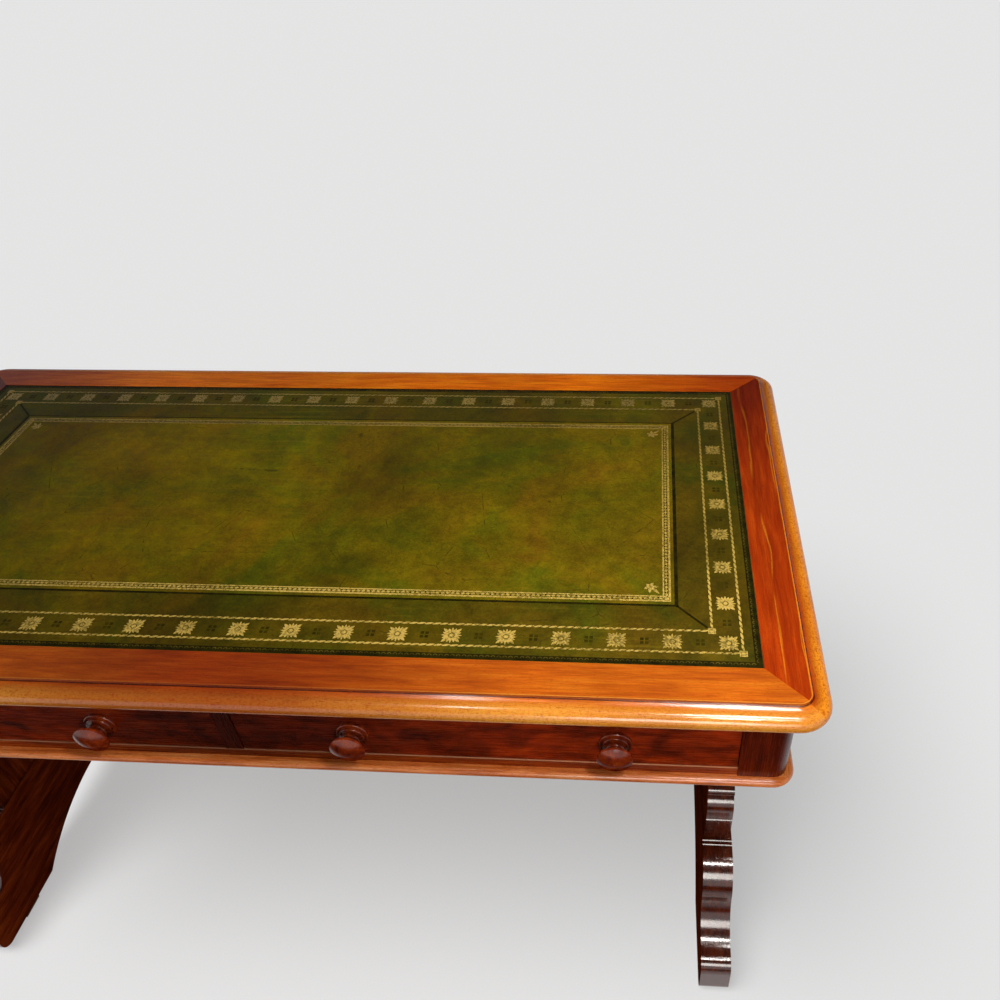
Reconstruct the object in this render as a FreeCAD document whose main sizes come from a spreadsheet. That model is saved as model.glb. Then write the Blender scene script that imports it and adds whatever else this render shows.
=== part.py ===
import FreeCAD, Part
import os
from types import SimpleNamespace

import Sketcher

# Driving sizes of the writing table in millimetres: name, value, what it measures.
DRIVING_SIZES = [
    ("table_height", 740.0, "floor to the flat of the top"),
    ("top_width", 1398.0, "top over its moulded edge, left to right"),
    ("top_depth", 746.0, "top over its moulded edge, front to back"),
    ("top_thick", 26.0, "thickness of the top frame"),
    ("top_corner", 40.0, "plan radius of the top's corners"),
    ("border_width", 50.0, "flat of the top frame beside the leather"),
    ("edge_reach", 23.0, "moulded edge from the flat to its nose"),
    ("quirk_drop", 2.2, "step down at the start of the moulded edge"),
    ("cove_width", 11.0, "width of the hollow in the moulded edge"),
    ("cove_drop", 3.0, "fall of the hollow in the moulded edge"),
    ("under_radius", 8.0, "rounding below the nose of the moulded edge"),
    ("trim", 4.0, "waste left round a blank before its edge is moulded"),
    ("tongue_reach", 12.0, "tongue of the core board into the frame"),
    ("tongue_thick", 8.0, "thickness of that tongue"),
    ("leather_thick", 1.2, "thickness of the leather"),
    ("leather_sink", 0.4, "leather below the flat of the frame"),
    ("leather_border", 97.0, "width of the leather's border strips"),
    ("leather_gap", 0.4, "gap round the leather and at its seam"),
    ("side_overhang", 38.0, "top beyond the posts at each end"),
    ("front_overhang", 13.0, "top beyond the posts at front and back"),
    ("frieze_height", 96.0, "posts and rails below the top"),
    ("post_size", 59.0, "side of a corner post"),
    ("post_round", 18.0, "rounding of a post's outer corner"),
    ("rail_setback", 2.0, "rails behind the face of the posts"),
    ("rail_depth", 58.0, "front and back rails, front to back"),
    ("rail_height", 13.0, "rail below the drawers"),
    ("top_rail_height", 11.0, "rail above the drawers"),
    ("end_rail_thick", 22.0, "thickness of the end rails"),
    ("divider_width", 22.0, "divider between the drawers"),
    ("tenon_length", 20.0, "tenons of the rails"),
    ("tenon_thick", 8.0, "thickness of the end rails' tenons"),
    ("tenon_shoulder", 5.0, "shoulder of a rail's tenon"),
    ("fit_gap", 0.15, "clearance of a joint round a tenon or stem"),
    ("base_height", 12.0, "height of the base moulding"),
    ("base_reach", 9.0, "base moulding beyond the posts"),
    ("base_inset", 46.0, "base moulding inside the face of the posts"),
    ("bearing_width", 18.0, "runners and kickers inside a drawer's side"),
    ("guide_height", 24.0, "drawer guides above the runners"),
    ("drawer_gap", 0.8, "gap round a drawer front"),
    ("drawer_setback", 1.0, "drawer fronts behind the rails"),
    ("back_room", 154.0, "room behind a drawer, up to the dummy front"),
    ("drawer_front_thick", 20.0, "thickness of a drawer front"),
    ("drawer_side_thick", 10.0, "thickness of a drawer's sides and back"),
    ("drawer_bottom_thick", 6.0, "thickness of a drawer bottom"),
    ("drawer_bottom_rise", 7.0, "drawer bottom above the front's lower edge"),
    ("groove_depth", 5.0, "groove for the drawer bottom"),
    ("running_gap", 0.3, "drawer above its runners"),
    ("side_drop", 2.0, "drawer sides below the top of the front"),
    ("tail_length", 14.0, "dovetails into the drawer front"),
    ("tail_root", 18.0, "width of a dovetail at its root"),
    ("tail_flare", 2.5, "widening of a dovetail at each side"),
    ("stop_height", 4.0, "height of a drawer stop"),
    ("stop_length", 40.0, "length of a drawer stop"),
    ("stop_depth", 12.0, "drawer stop, front to back"),
    ("stop_spacing", 300.0, "distance between a drawer's two stops"),
    ("knob_spacing", 307.0, "distance between a drawer's two knobs"),
    ("knob_rise", 3.0, "knobs above the middle of a drawer front"),
    ("knob_radius", 20.5, "radius of a knob's face"),
    ("knob_edge", 3.0, "rounding behind a knob's rim"),
    ("knob_rim", 1.5, "straight part of a knob's rim"),
    ("knob_reach", 31.0, "knob from the drawer front to its crown"),
    ("knob_dome", 6.0, "rise of a knob's face"),
    ("rose_radius", 19.0, "radius of the rose behind a knob"),
    ("rose_thick", 4.0, "first step of the rose"),
    ("rose_step", 4.0, "second step of the rose inside the first"),
    ("rose_round", 1.3, "rounding of both steps"),
    ("rose_rise", 3.2, "second step of the rose above the first"),
    ("neck_radius", 9.5, "radius of a knob's neck"),
    ("neck_bead", 2.0, "radius of the bead on a knob's neck"),
    ("stem_radius", 6.0, "radius of a knob's stem"),
    ("stem_length", 15.0, "knob's stem in the drawer front"),
    ("stand_inset", 43.5, "face of the end posts to the middle of a support"),
    ("stand_thick", 41.0, "thickness of an end standard"),
    ("bearer_width", 80.0, "width of the bearer on an end standard"),
    ("bearer_height", 46.0, "height of that bearer"),
    ("bearer_setback", 60.0, "end of that bearer behind the face of the posts"),
    ("bearer_cove", 30.0, "hollow at each end of the bearer"),
    ("stand_setback", 165.0, "collar of a standard behind the face of the posts"),
    ("cap_step", 5.0, "standard's cap behind its collar"),
    ("cap_height", 16.0, "face of the standard's cap"),
    ("cap_cove", 18.0, "hollow below the standard's cap"),
    ("waist_sink", 14.0, "hollowing of the standard's waist"),
    ("collar_round", 12.0, "upper round of the collar"),
    ("quirk_height", 6.0, "sunk fillet between the collar's rounds"),
    ("quirk_sink", 3.0, "depth of that fillet"),
    ("roll_reach", 14.0, "lower round of the collar, outwards"),
    ("roll_height", 25.0, "lower round of the collar, upwards"),
    ("fascia_height", 71.0, "plain face of the collar"),
    ("line_height", 50.0, "incised line above the foot of the collar"),
    ("line_width", 3.0, "width of that incised line"),
    ("stand_tenon", 55.0, "tenon of a standard in its foot"),
    ("stand_tenon_inset", 75.0, "end of the standard's tenons behind its collar"),
    ("stand_tenon_thick", 16.0, "thickness of the standard's tenons"),
    ("bearer_tenon", 30.0, "tenon of a standard in its bearer"),
    ("foot_height", 207.0, "floor to the top of a foot"),
    ("foot_width", 47.0, "width of a foot"),
    ("foot_flat", 22.0, "reeded flat in front of the collar"),
    ("knee_radius", 54.0, "knee of the scroll foot"),
    ("sweep_radius", 62.0, "hollow of the scroll foot"),
    ("toe_radius", 22.0, "top of the toe"),
    ("heel_radius", 20.0, "bottom of the toe"),
    ("pad_height", 8.0, "foot pad under a toe"),
    ("pad_size", 40.0, "side of a foot pad"),
    ("sole_length", 130.0, "flat under a toe, up to the arch of the foot"),
    ("arch_rise", 62.0, "rise of the arch under a foot"),
    ("boss_rise", 4.0, "turned boss above the foot"),
    ("stretcher_radius", 24.0, "stretcher at its middle"),
    ("stretcher_neck", 14.0, "stretcher at its ends"),
    ("ring_reach", 8.0, "rings of the stretcher beyond its neck"),
    ("ring_width", 14.0, "ring at each end of the stretcher"),
    ("ring_slope", 6.0, "slopes beside the rings"),
    ("neck_run", 40.0, "plain neck between two rings"),
    ("second_width", 8.0, "second ring of the stretcher"),
    ("second_drop", 3.0, "second ring below the first"),
    ("knop_reach", 9.0, "knop at the middle beyond the stretcher"),
    ("knop_half", 20.0, "half the flat of that knop"),
    ("knop_slope", 18.0, "slope of that knop"),
    ("knop_drop", 5.0, "fall of that slope"),
    ("knop_neck", 14.0, "sunk neck beside that knop"),
    ("knop_fall", 8.0, "fall from the knop to its neck"),
    ("knop_rise", 10.0, "rise from that neck to the stretcher"),
    ("stretcher_tenon", 26.0, "stretcher's tenon in a standard"),
    ("stretcher_tenon_radius", 11.0, "radius of that tenon"),
    ("boss_radius", 27.0, "turned boss outside a standard"),
    ("boss_thick", 11.0, "turned boss, standing out"),
    ("boss_stem_radius", 7.0, "radius of the boss's stem"),
    ("boss_stem", 10.0, "boss's stem in the standard"),
    ("screw_radius", 2.4, "radius of a screw's shank"),
    ("screw_head_radius", 4.6, "radius of a screw's head"),
    ("screw_head_height", 3.0, "height of a screw's head"),
    ("top_screw_length", 26.0, "length of a screw into the top"),
    ("bearer_screw_length", 80.0, "length of a screw up through a bearer"),
    ("bearer_screw_margin", 51.0, "outer screws of a bearer behind the posts"),
    ("top_screw_margin", 100.0, "screws of a kicker behind the rails"),
]


class Size:
    """A length in millimetres with the spreadsheet expression that gives it."""

    def __init__(self, text, value):
        self.text = text
        self.value = value

    def __add__(self, other):
        other = as_size(other)
        return Size(f"({self.text} + {other.text})", self.value + other.value)

    __radd__ = __add__

    def __sub__(self, other):
        other = as_size(other)
        return Size(f"({self.text} - {other.text})", self.value - other.value)

    def __rsub__(self, other):
        return as_size(other) - self

    def __neg__(self):
        return Size(f"(-1 * {self.text})", -self.value)

    def __mul__(self, other):
        other = as_size(other)
        return Size(f"({self.text} * {other.text})", self.value * other.value)

    __rmul__ = __mul__

    def __truediv__(self, other):
        other = as_size(other)
        return Size(f"({self.text} / {other.text})", self.value / other.value)


def as_size(length):
    """Give a plain number as a Size; a Size comes back as it is."""
    if isinstance(length, Size):
        return length
    return Size(repr(float(length)), float(length))


doc = FreeCAD.newDocument("writing_table")
sheet = doc.addObject("Spreadsheet::Sheet", "sizes")
for row, (name, value, meaning) in enumerate(DRIVING_SIZES, start=1):
    sheet.set(f"A{row}", meaning)
    sheet.set(f"B{row}", str(value))
    sheet.setAlias(f"B{row}", name)
doc.recompute()
dim = SimpleNamespace(**{name: Size(f"sizes.{name}", value) for name, value, _ in DRIVING_SIZES})

# Finished pieces by name, one file each.
pieces = {}


def place(obj, x=0, y=0, z=0):
    """Bind an object's position to the sheet."""
    for axis, length in zip("xyz", (x, y, z)):
        obj.setExpression(f"Placement.Base.{axis}", as_size(length).text)


def ordered(limits):
    """Give two limits with the smaller first."""
    return sorted((as_size(limit) for limit in limits), key=lambda size: size.value)


def board(label, x, y, z):
    """Rectangular board between two limits along each axis."""
    box = doc.addObject("Part::Box", label)
    lows = []
    for side, limits in zip(("Length", "Width", "Height"), (x, y, z)):
        low, high = ordered(limits)
        box.setExpression(side, (high - low).text)
        lows.append(low)
    place(box, *lows)
    return box


def draw(body, label, plane, outline):
    """Closed sketch through the outline's points, each bound to the sheet.

    An entry is (x, y) or (x, y, centre); a centre makes an arc to the next point.
    """
    sketch = body.newObject("Sketcher::SketchObject", label)
    support = next(item for item in body.Origin.OriginFeatures if item.Role == plane)
    sketch.AttachmentSupport = [(support, "")]
    sketch.MapMode = "FlatFace"
    corners = [(as_size(entry[0]), as_size(entry[1])) for entry in outline]
    centres = [entry[2] if len(entry) > 2 else None for entry in outline]
    points = [FreeCAD.Vector(x.value, y.value, 0) for x, y in corners]
    edges = []
    ends = []
    for index, centre in enumerate(centres):
        start = points[index]
        end = points[(index + 1) % len(points)]
        if centre is None:
            edges.append(Part.LineSegment(start, end))
            ends.append((1, 2))
            continue
        middle = FreeCAD.Vector(as_size(centre[0]).value, as_size(centre[1]).value, 0)
        turns_left = (start - middle).cross(end - middle).z > 0
        first, last = (start, end) if turns_left else (end, start)
        angles = [(point - middle).getAngle(FreeCAD.Vector(1, 0, 0)) for point in (first, last)]
        signs = [1 if (point - middle).y >= 0 else -1 for point in (first, last)]
        circle = Part.Circle(middle, FreeCAD.Vector(0, 0, 1), (start - middle).Length)
        edges.append(Part.ArcOfCircle(circle, signs[0] * angles[0], signs[1] * angles[1]))
        ends.append((1, 2) if turns_left else (2, 1))
    sketch.addGeometry(edges, False)
    for index in range(len(edges)):
        following = (index + 1) % len(edges)
        sketch.addConstraint(
            Sketcher.Constraint("Coincident", index, ends[index][1], following, ends[following][0])
        )
    for index, (x, y) in enumerate(corners):
        fix_point(sketch, index, ends[index][0], "DistanceX", x)
        fix_point(sketch, index, ends[index][0], "DistanceY", y)
        if centres[index] is not None:
            chord = points[(index + 1) % len(points)] - points[index]
            flat = abs(chord.x) >= abs(chord.y)
            kind, length = ("DistanceY", centres[index][1]) if flat else ("DistanceX", centres[index][0])
            fix_point(sketch, index, 3, kind, as_size(length))
    return sketch


def fix_point(sketch, edge, position, kind, length):
    """Hold one coordinate of a sketch point to the sheet, or to an axis where it is nought."""
    if length.text == "0.0":
        axis = -2 if kind == "DistanceX" else -1
        sketch.addConstraint(Sketcher.Constraint("PointOnObject", edge, position, axis))
        return
    number = sketch.addConstraint(Sketcher.Constraint(kind, edge, position, length.value))
    sketch.setExpression(f"Constraints[{number}]", length.text)


def pad(body, sketch, length):
    """Raise a sketch to a solid."""
    solid = body.newObject("PartDesign::Pad", f"{body.Name}_pad")
    solid.Profile = sketch
    solid.setExpression("Length", as_size(length).text)
    return solid


def prism(label, plane, outline, limits):
    """Solid of one outline between two limits along the plane's normal."""
    low, high = ordered(limits)
    body = doc.addObject("PartDesign::Body", label)
    pad(body, draw(body, f"{label}_outline", plane, outline), high - low)
    if plane == "XY_Plane":
        place(body, z=low)
    elif plane == "YZ_Plane":
        place(body, x=low)
    else:
        place(body, y=high)
    return body


def turned(label, plane, axis, outline, x, y, z):
    """Solid turned about one axis of its sketch."""
    body = doc.addObject("PartDesign::Body", label)
    sketch = draw(body, f"{label}_outline", plane, outline)
    revolution = body.newObject("PartDesign::Revolution", f"{label}_turning")
    revolution.Profile = sketch
    revolution.ReferenceAxis = (sketch, [axis])
    revolution.Angle = 360.0
    place(body, x, y, z)
    return body


def rod(label, axis, radius, start, length):
    """Plain round rod along one axis."""
    cylinder = doc.addObject("Part::Cylinder", label)
    cylinder.setExpression("Radius", as_size(radius).text)
    cylinder.setExpression("Height", as_size(length).text)
    turns = {"z": (0, 0, 1, 0), "x": (0, 1, 0, 90), "y": (1, 0, 0, -90)}
    x, y, z, angle = turns[axis]
    cylinder.Placement.Rotation = FreeCAD.Rotation(FreeCAD.Vector(x, y, z), angle)
    place(cylinder, *start)
    return cylinder


def join(label, members):
    """One solid made of several that run into each other."""
    union = doc.addObject("Part::MultiFuse", label)
    union.Shapes = members
    return union


def group(label, members):
    """Separate solids of one kind under one name."""
    compound = doc.addObject("Part::Compound", label)
    compound.Links = members
    return compound


def cut(label, blank, tools):
    """Blank with the room for its mates taken out."""
    difference = doc.addObject("Part::Cut", label)
    difference.Base = blank
    if len(tools) == 1:
        difference.Tool = tools[0]
    else:
        difference.Tool = group(f"{label}_mates", tools)
    return difference


def common(label, blank, limit):
    """Piece of the blank inside another solid."""
    section = doc.addObject("Part::Common", label)
    section.Base = blank
    section.Tool = limit
    return section


def finish(label, obj):
    """Name a finished piece."""
    obj.Label = label
    pieces[label] = obj
    return obj


def rounded_rectangle(half_x, half_y, radius):
    """Outline of a rectangle with rounded corners, from the middle of its right side."""
    run_x = half_x - radius
    run_y = half_y - radius
    return [
        (half_x, 0),
        (half_x, run_y, (run_x, run_y)),
        (run_x, half_y),
        (-run_x, half_y, (-run_x, run_y)),
        (-half_x, run_y),
        (-half_x, -run_y, (-run_x, -run_y)),
        (-run_x, -half_y),
        (run_x, -half_y, (run_x, -run_y)),
        (half_x, -run_y),
    ]


def moulded_blank(label, half_x, half_y, radius, thick, waste, low):
    """Slab with its edge cut to a profile all round.

    The waste is drawn from the nose of the edge outwards, at the right side.
    """
    body = doc.addObject("PartDesign::Body", label)
    oversize = rounded_rectangle(half_x + dim.trim, half_y + dim.trim, radius + dim.trim)
    pad(body, draw(body, f"{label}_slab", "XY_Plane", oversize), thick)
    path = draw(body, f"{label}_path", "XY_Plane", rounded_rectangle(half_x, half_y, radius))
    profile = draw(body, f"{label}_waste", "XZ_Plane", waste)
    doc.recompute()
    pipe = body.newObject("PartDesign::SubtractivePipe", f"{label}_edge")
    pipe.Profile = profile
    pipe.Spine = (path, [f"Edge{number}" for number in range(1, len(path.Geometry) + 1)])
    pipe.Transition = "Transformed"
    place(body, z=low)
    return body


def mitre_wedges(label, half_x, half_y, width, limits):
    """Four mitred limits that part a rectangular ring into its members."""
    out = dim.trim * 3
    far_x, far_y = half_x + out, half_y + out
    near_x, near_y = half_x - width, half_y - width
    wedges = {}
    for name, side in (("front", -1), ("back", 1)):
        outline = [(-far_x, side * far_y), (far_x, side * far_y), (near_x, side * near_y), (-near_x, side * near_y)]
        wedges[name] = prism(f"{label}_{name}_limit", "XY_Plane", outline, limits)
    for name, side in (("left", -1), ("right", 1)):
        outline = [(side * far_x, -far_y), (side * far_x, far_y), (side * near_x, near_y), (side * near_x, -near_y)]
        wedges[name] = prism(f"{label}_{name}_limit", "XY_Plane", outline, limits)
    return wedges


# Heights and half sizes that several pieces share.
top_low = dim.table_height - dim.top_thick
base_top = top_low - dim.frieze_height
base_low = base_top - dim.base_height
bearer_low = base_low - dim.bearer_height
frieze_x = dim.top_width / 2 - dim.side_overhang
frieze_y = dim.top_depth / 2 - dim.front_overhang
post_x = frieze_x - dim.post_size
post_y = frieze_y - dim.post_size
leather_x = dim.top_width / 2 - dim.edge_reach - dim.border_width
leather_y = dim.top_depth / 2 - dim.edge_reach - dim.border_width
board_top = dim.table_height - dim.leather_sink - dim.leather_thick
rail_face = frieze_y - dim.rail_setback
rail_back = rail_face - dim.rail_depth
end_rail_out = frieze_x - dim.rail_setback
end_rail_in = end_rail_out - dim.end_rail_thick
opening_low = base_top + dim.rail_height
opening_high = top_low - dim.top_rail_height
divider_x = dim.divider_width / 2
stand_centre = frieze_x - dim.stand_inset
stretcher_height = dim.foot_height + dim.boss_radius + dim.boss_rise
collar = frieze_y - dim.stand_setback


# Core board with a tongue all round, which carries the leather.
core = board("core_slab", (-leather_x, leather_x), (-leather_y, leather_y), (top_low, board_top))
tongue_middle = (top_low + board_top) / 2
tongue_x = leather_x + dim.tongue_reach
tongue_y = leather_y + dim.tongue_reach
tongue_z = (tongue_middle - dim.tongue_thick / 2, tongue_middle + dim.tongue_thick / 2)
tongue = board("core_tongue", (-tongue_x, tongue_x), (-tongue_y, tongue_y), tongue_z)
core_board = join("core_joined", [core, tongue])

# Screws that hold the top, up through the kickers into the core board.
screw_outline = [
    (0, 0),
    (dim.screw_head_radius, 0),
    (dim.screw_radius, dim.screw_head_height),
    (dim.screw_radius, dim.top_screw_length - dim.screw_head_height),
    (0, dim.top_screw_length),
]
kicker_x = post_x - dim.bearing_width
kicker_outer_middle = (kicker_x + end_rail_in) / 2
top_screws = []
top_screw_holes = []
for column, x in enumerate((-kicker_outer_middle, as_size(0), kicker_outer_middle)):
    for row_side in (-1, 1):
        name = f"top_screw_{column}_{row_side + 1}"
        y = row_side * (rail_back - dim.top_screw_margin)
        top_screws.append(turned(name, "XZ_Plane", "V_Axis", screw_outline, x, y, opening_high))
        bore = dim.screw_head_radius + dim.fit_gap
        shank = dim.screw_radius + dim.fit_gap
        sink = rod(f"{name}_sink", "z", bore, (x, y, opening_high), dim.screw_head_height + dim.fit_gap)
        hole = rod(f"{name}_hole", "z", shank, (x, y, opening_high), dim.top_screw_length + dim.fit_gap)
        top_screw_holes.append(join(f"{name}_room", [sink, hole]))
finish("top_screws", group("top_screws", top_screws))
finish("top_core_board", cut("top_core_board", core_board, top_screw_holes))

# Top frame: a slab with a quirk, a hollow and a round worked on its edge, parted at the mitres.
nose_x = dim.top_width / 2
nose_y = dim.top_depth / 2
flat_x = nose_x - dim.edge_reach
nose_radius = dim.edge_reach - dim.cove_width
cove_x = flat_x + dim.cove_width
quirk_z = dim.top_thick - dim.quirk_drop
cove_z = quirk_z - dim.cove_drop
nose_z = cove_z - nose_radius
cove_radius = (dim.cove_width * dim.cove_width + dim.cove_drop * dim.cove_drop) / (2 * dim.cove_drop)
outside = nose_x + dim.trim * 2
top_waste = [
    (flat_x, dim.top_thick + dim.trim),
    (flat_x, quirk_z, (cove_x, cove_z + cove_radius)),
    (cove_x, cove_z, (cove_x, nose_z)),
    (nose_x, nose_z),
    (nose_x, dim.under_radius, (nose_x - dim.under_radius, dim.under_radius)),
    (nose_x - dim.under_radius, 0),
    (nose_x - dim.under_radius, -dim.trim),
    (outside, -dim.trim),
    (outside, dim.top_thick + dim.trim),
]
top_slab = moulded_blank("top_slab", nose_x, nose_y, dim.top_corner, dim.top_thick, top_waste, top_low)
top_room = board(
    "top_opening",
    (-leather_x, leather_x),
    (-leather_y, leather_y),
    (top_low - dim.trim, dim.table_height + dim.trim),
)
groove_x = tongue_x + dim.fit_gap
groove_y = tongue_y + dim.fit_gap
groove_z = (tongue_z[0] - dim.fit_gap, tongue_z[1] + dim.fit_gap)
top_groove = board("top_groove", (-groove_x, groove_x), (-groove_y, groove_y), groove_z)
top_ring = cut("top_ring", top_slab, [join("top_ring_room", [top_room, top_groove])])
top_limits = (top_low - dim.trim, dim.table_height + dim.trim)
frame_width = dim.edge_reach + dim.border_width + dim.trim
for name, wedge in mitre_wedges("top", nose_x, nose_y, frame_width, top_limits).items():
    finish(f"top_frame_{name}", common(f"top_frame_{name}", top_ring, wedge))

# Leather: a centre panel and four border strips mitred at the corners.
panel_x = leather_x - dim.leather_border - dim.leather_gap
panel_y = leather_y - dim.leather_border - dim.leather_gap
leather_z = (board_top, board_top + dim.leather_thick)
finish("leather_centre", board("leather_centre", (-panel_x, panel_x), (-panel_y, panel_y), leather_z))
hide_x = leather_x - dim.leather_gap
hide_y = leather_y - dim.leather_gap
seam_x = leather_x - dim.leather_border
seam_y = leather_y - dim.leather_border
for name, side in (("front", -1), ("back", 1)):
    strip = [(-hide_x, side * hide_y), (hide_x, side * hide_y), (seam_x, side * seam_y), (-seam_x, side * seam_y)]
    finish(f"leather_border_{name}", prism(f"leather_border_{name}", "XY_Plane", strip, leather_z))
for name, side in (("left", -1), ("right", 1)):
    strip = [(side * hide_x, -hide_y), (side * hide_x, hide_y), (side * seam_x, seam_y), (side * seam_x, -seam_y)]
    finish(f"leather_border_{name}", prism(f"leather_border_{name}", "XY_Plane", strip, leather_z))

# Rails with tenons at both ends, and the mortises they need.
tenons = {}
mortises = {}


def tenoned_rail(label, x, y, z, tenon_x, tenon_y, tenon_z):
    """Rail with a tenon through it that stands out at both ends."""
    rail = board(f"{label}_length", x, y, z)
    tenon = board(f"{label}_tenon", tenon_x, tenon_y, tenon_z)
    grown = []
    for limits in (tenon_x, tenon_y, tenon_z):
        low, high = ordered(limits)
        grown.append((low - dim.fit_gap, high + dim.fit_gap))
    mortises[label] = board(f"{label}_mortise", *grown)
    return join(f"{label}_rail", [rail, tenon])


cross_x = (-post_x, post_x)
cross_tenon_x = (-(post_x + dim.tenon_length), post_x + dim.tenon_length)
for name, side in (("front", -1), ("back", 1)):
    cross_y = (side * rail_face, side * rail_back)
    cross_tenon_y = (side * (rail_face - dim.tenon_length), side * (rail_back + dim.tenon_shoulder))
    low_z = (base_top, opening_low)
    low_tenon_z = (base_top + dim.tenon_shoulder / 2, opening_low - dim.tenon_shoulder / 2)
    low_rail = tenoned_rail(
        f"{name}_bottom_rail", cross_x, cross_y, low_z, cross_tenon_x, cross_tenon_y, low_tenon_z
    )
    finish(f"{name}_bottom_rail", low_rail)
    high_z = (opening_high, top_low)
    high_tenon_z = (opening_high + dim.tenon_shoulder / 2, top_low - dim.tenon_shoulder / 2)
    high_rail = tenoned_rail(
        f"{name}_top_rail", cross_x, cross_y, high_z, cross_tenon_x, cross_tenon_y, high_tenon_z
    )
    finish(f"{name}_top_rail", high_rail)
    divider_y = (side * rail_face, side * rail_back)
    divider = board(f"{name}_divider", (-divider_x, divider_x), divider_y, (opening_low, opening_high))
    finish(f"{name}_divider", divider)

# Screws that hold the supports, up through the bearers into the end rails.
bearer_screw_outline = [
    (0, 0),
    (dim.screw_head_radius, 0),
    (dim.screw_radius, dim.screw_head_height),
    (dim.screw_radius, dim.bearer_screw_length - dim.screw_head_height),
    (0, dim.bearer_screw_length),
]
bearer_screw_x = (end_rail_in + end_rail_out) / 2
bearer_screws = []
bearer_screw_holes = {"left": [], "right": []}
for end_name, end in (("left", -1), ("right", 1)):
    for step in (-1, 0, 1):
        name = f"bearer_screw_{end_name}_{step + 1}"
        x = end * bearer_screw_x
        y = step * (post_y - dim.bearer_screw_margin)
        bearer_screws.append(turned(name, "XZ_Plane", "V_Axis", bearer_screw_outline, x, y, bearer_low))
        bore = dim.screw_head_radius + dim.fit_gap
        shank = dim.screw_radius + dim.fit_gap
        sink = rod(f"{name}_sink", "z", bore, (x, y, bearer_low), dim.screw_head_height + dim.fit_gap)
        hole = rod(f"{name}_hole", "z", shank, (x, y, bearer_low), dim.bearer_screw_length + dim.fit_gap)
        bearer_screw_holes[end_name].append(join(f"{name}_room", [sink, hole]))
finish("bearer_screws", group("bearer_screws", bearer_screws))

# End rails between the posts.
end_y = (-post_y, post_y)
end_tenon_y = (-(post_y + dim.tenon_length), post_y + dim.tenon_length)
end_tenon_middle = (end_rail_in + end_rail_out) / 2
end_tenon_z = (opening_low + dim.tenon_shoulder, opening_high - dim.tenon_shoulder)
for name, side in (("left", -1), ("right", 1)):
    end_tenon_x = (
        side * (end_tenon_middle - dim.tenon_thick / 2),
        side * (end_tenon_middle + dim.tenon_thick / 2),
    )
    end_rail = tenoned_rail(
        f"end_rail_{name}",
        (side * end_rail_in, side * end_rail_out),
        end_y,
        (base_top, top_low),
        end_tenon_x,
        end_tenon_y,
        end_tenon_z,
    )
    finish(f"end_rail_{name}", cut(f"end_rail_{name}", end_rail, bearer_screw_holes[name]))

# Corner posts, rounded at the outer corner and mortised for the rails.
for depth_name, depth in (("front", -1), ("back", 1)):
    for end_name, end in (("left", -1), ("right", 1)):
        label = f"post_{depth_name}_{end_name}"
        round_x = end * (frieze_x - dim.post_round)
        round_y = depth * (frieze_y - dim.post_round)
        outline = [
            (end * post_x, depth * post_y),
            (end * frieze_x, depth * post_y),
            (end * frieze_x, round_y, (round_x, round_y)),
            (round_x, depth * frieze_y),
            (end * post_x, depth * frieze_y),
        ]
        blank = prism(f"{label}_blank", "XY_Plane", outline, (base_top, top_low))
        rooms = [
            mortises[f"{depth_name}_bottom_rail"],
            mortises[f"{depth_name}_top_rail"],
            mortises[f"end_rail_{end_name}"],
        ]
        finish(label, cut(label, blank, rooms))

# Base moulding: a half round under the frieze, parted at the mitres.
base_x = frieze_x + dim.base_reach
base_y = frieze_y + dim.base_reach
base_round = dim.base_height / 2
base_outside = base_x + dim.trim * 2
base_waste = [
    (base_x - base_round, dim.base_height + dim.trim),
    (base_x - base_round, dim.base_height, (base_x - base_round, base_round)),
    (base_x, base_round, (base_x - base_round, base_round)),
    (base_x - base_round, 0),
    (base_x - base_round, -dim.trim),
    (base_outside, -dim.trim),
    (base_outside, dim.base_height + dim.trim),
]
base_slab = moulded_blank(
    "base_slab", base_x, base_y, dim.post_round + dim.base_reach, dim.base_height, base_waste, base_low
)
base_room_x = frieze_x - dim.base_inset
base_room_y = frieze_y - dim.base_inset
base_limits = (base_low - dim.trim, base_top + dim.trim)
base_room = board("base_opening", (-base_room_x, base_room_x), (-base_room_y, base_room_y), base_limits)
base_ring = cut("base_ring", base_slab, [base_room])
base_width = dim.base_reach + dim.base_inset + dim.trim
for name, wedge in mitre_wedges("base", base_x, base_y, base_width, base_limits).items():
    member = common(f"base_moulding_{name}_length", base_ring, wedge)
    if name in bearer_screw_holes:
        member = cut(f"base_moulding_{name}", member, bearer_screw_holes[name])
    finish(f"base_moulding_{name}", member)

# Runners, guides and kickers that carry the drawers between the front and back rails.
run_y = (-rail_back, rail_back)
guide_z = (opening_low, opening_low + dim.guide_height)
guides = []
kickers = []
for column, (name, side) in enumerate((("left", -1), ("centre", 0), ("right", 1))):
    if side:
        run_x = (side * kicker_x, side * end_rail_in)
        guide_x = (side * (post_x + dim.drawer_gap / 2), side * end_rail_in)
    else:
        run_x = (-(divider_x + dim.bearing_width), divider_x + dim.bearing_width)
        guide_x = (-divider_x, divider_x)
    finish(f"drawer_runner_{name}", board(f"drawer_runner_{name}", run_x, run_y, (base_top, opening_low)))
    guides.append(board(f"drawer_guide_{name}", guide_x, run_y, guide_z))
    kicker = board(f"drawer_kicker_{name}_length", run_x, run_y, (opening_high, top_low))
    rooms = top_screw_holes[2 * column : 2 * column + 2]
    kickers.append(cut(f"drawer_kicker_{name}", kicker, rooms))
finish("drawer_guides", group("drawer_guides", guides))
finish("drawer_kickers", group("drawer_kickers", kickers))


def rounding(radius, reach, centre, side):
    """Start of a rounded arris on a knob, with its centre at the same reach."""
    return (radius, as_size(side) * reach, (centre, as_size(side) * reach))


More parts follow.
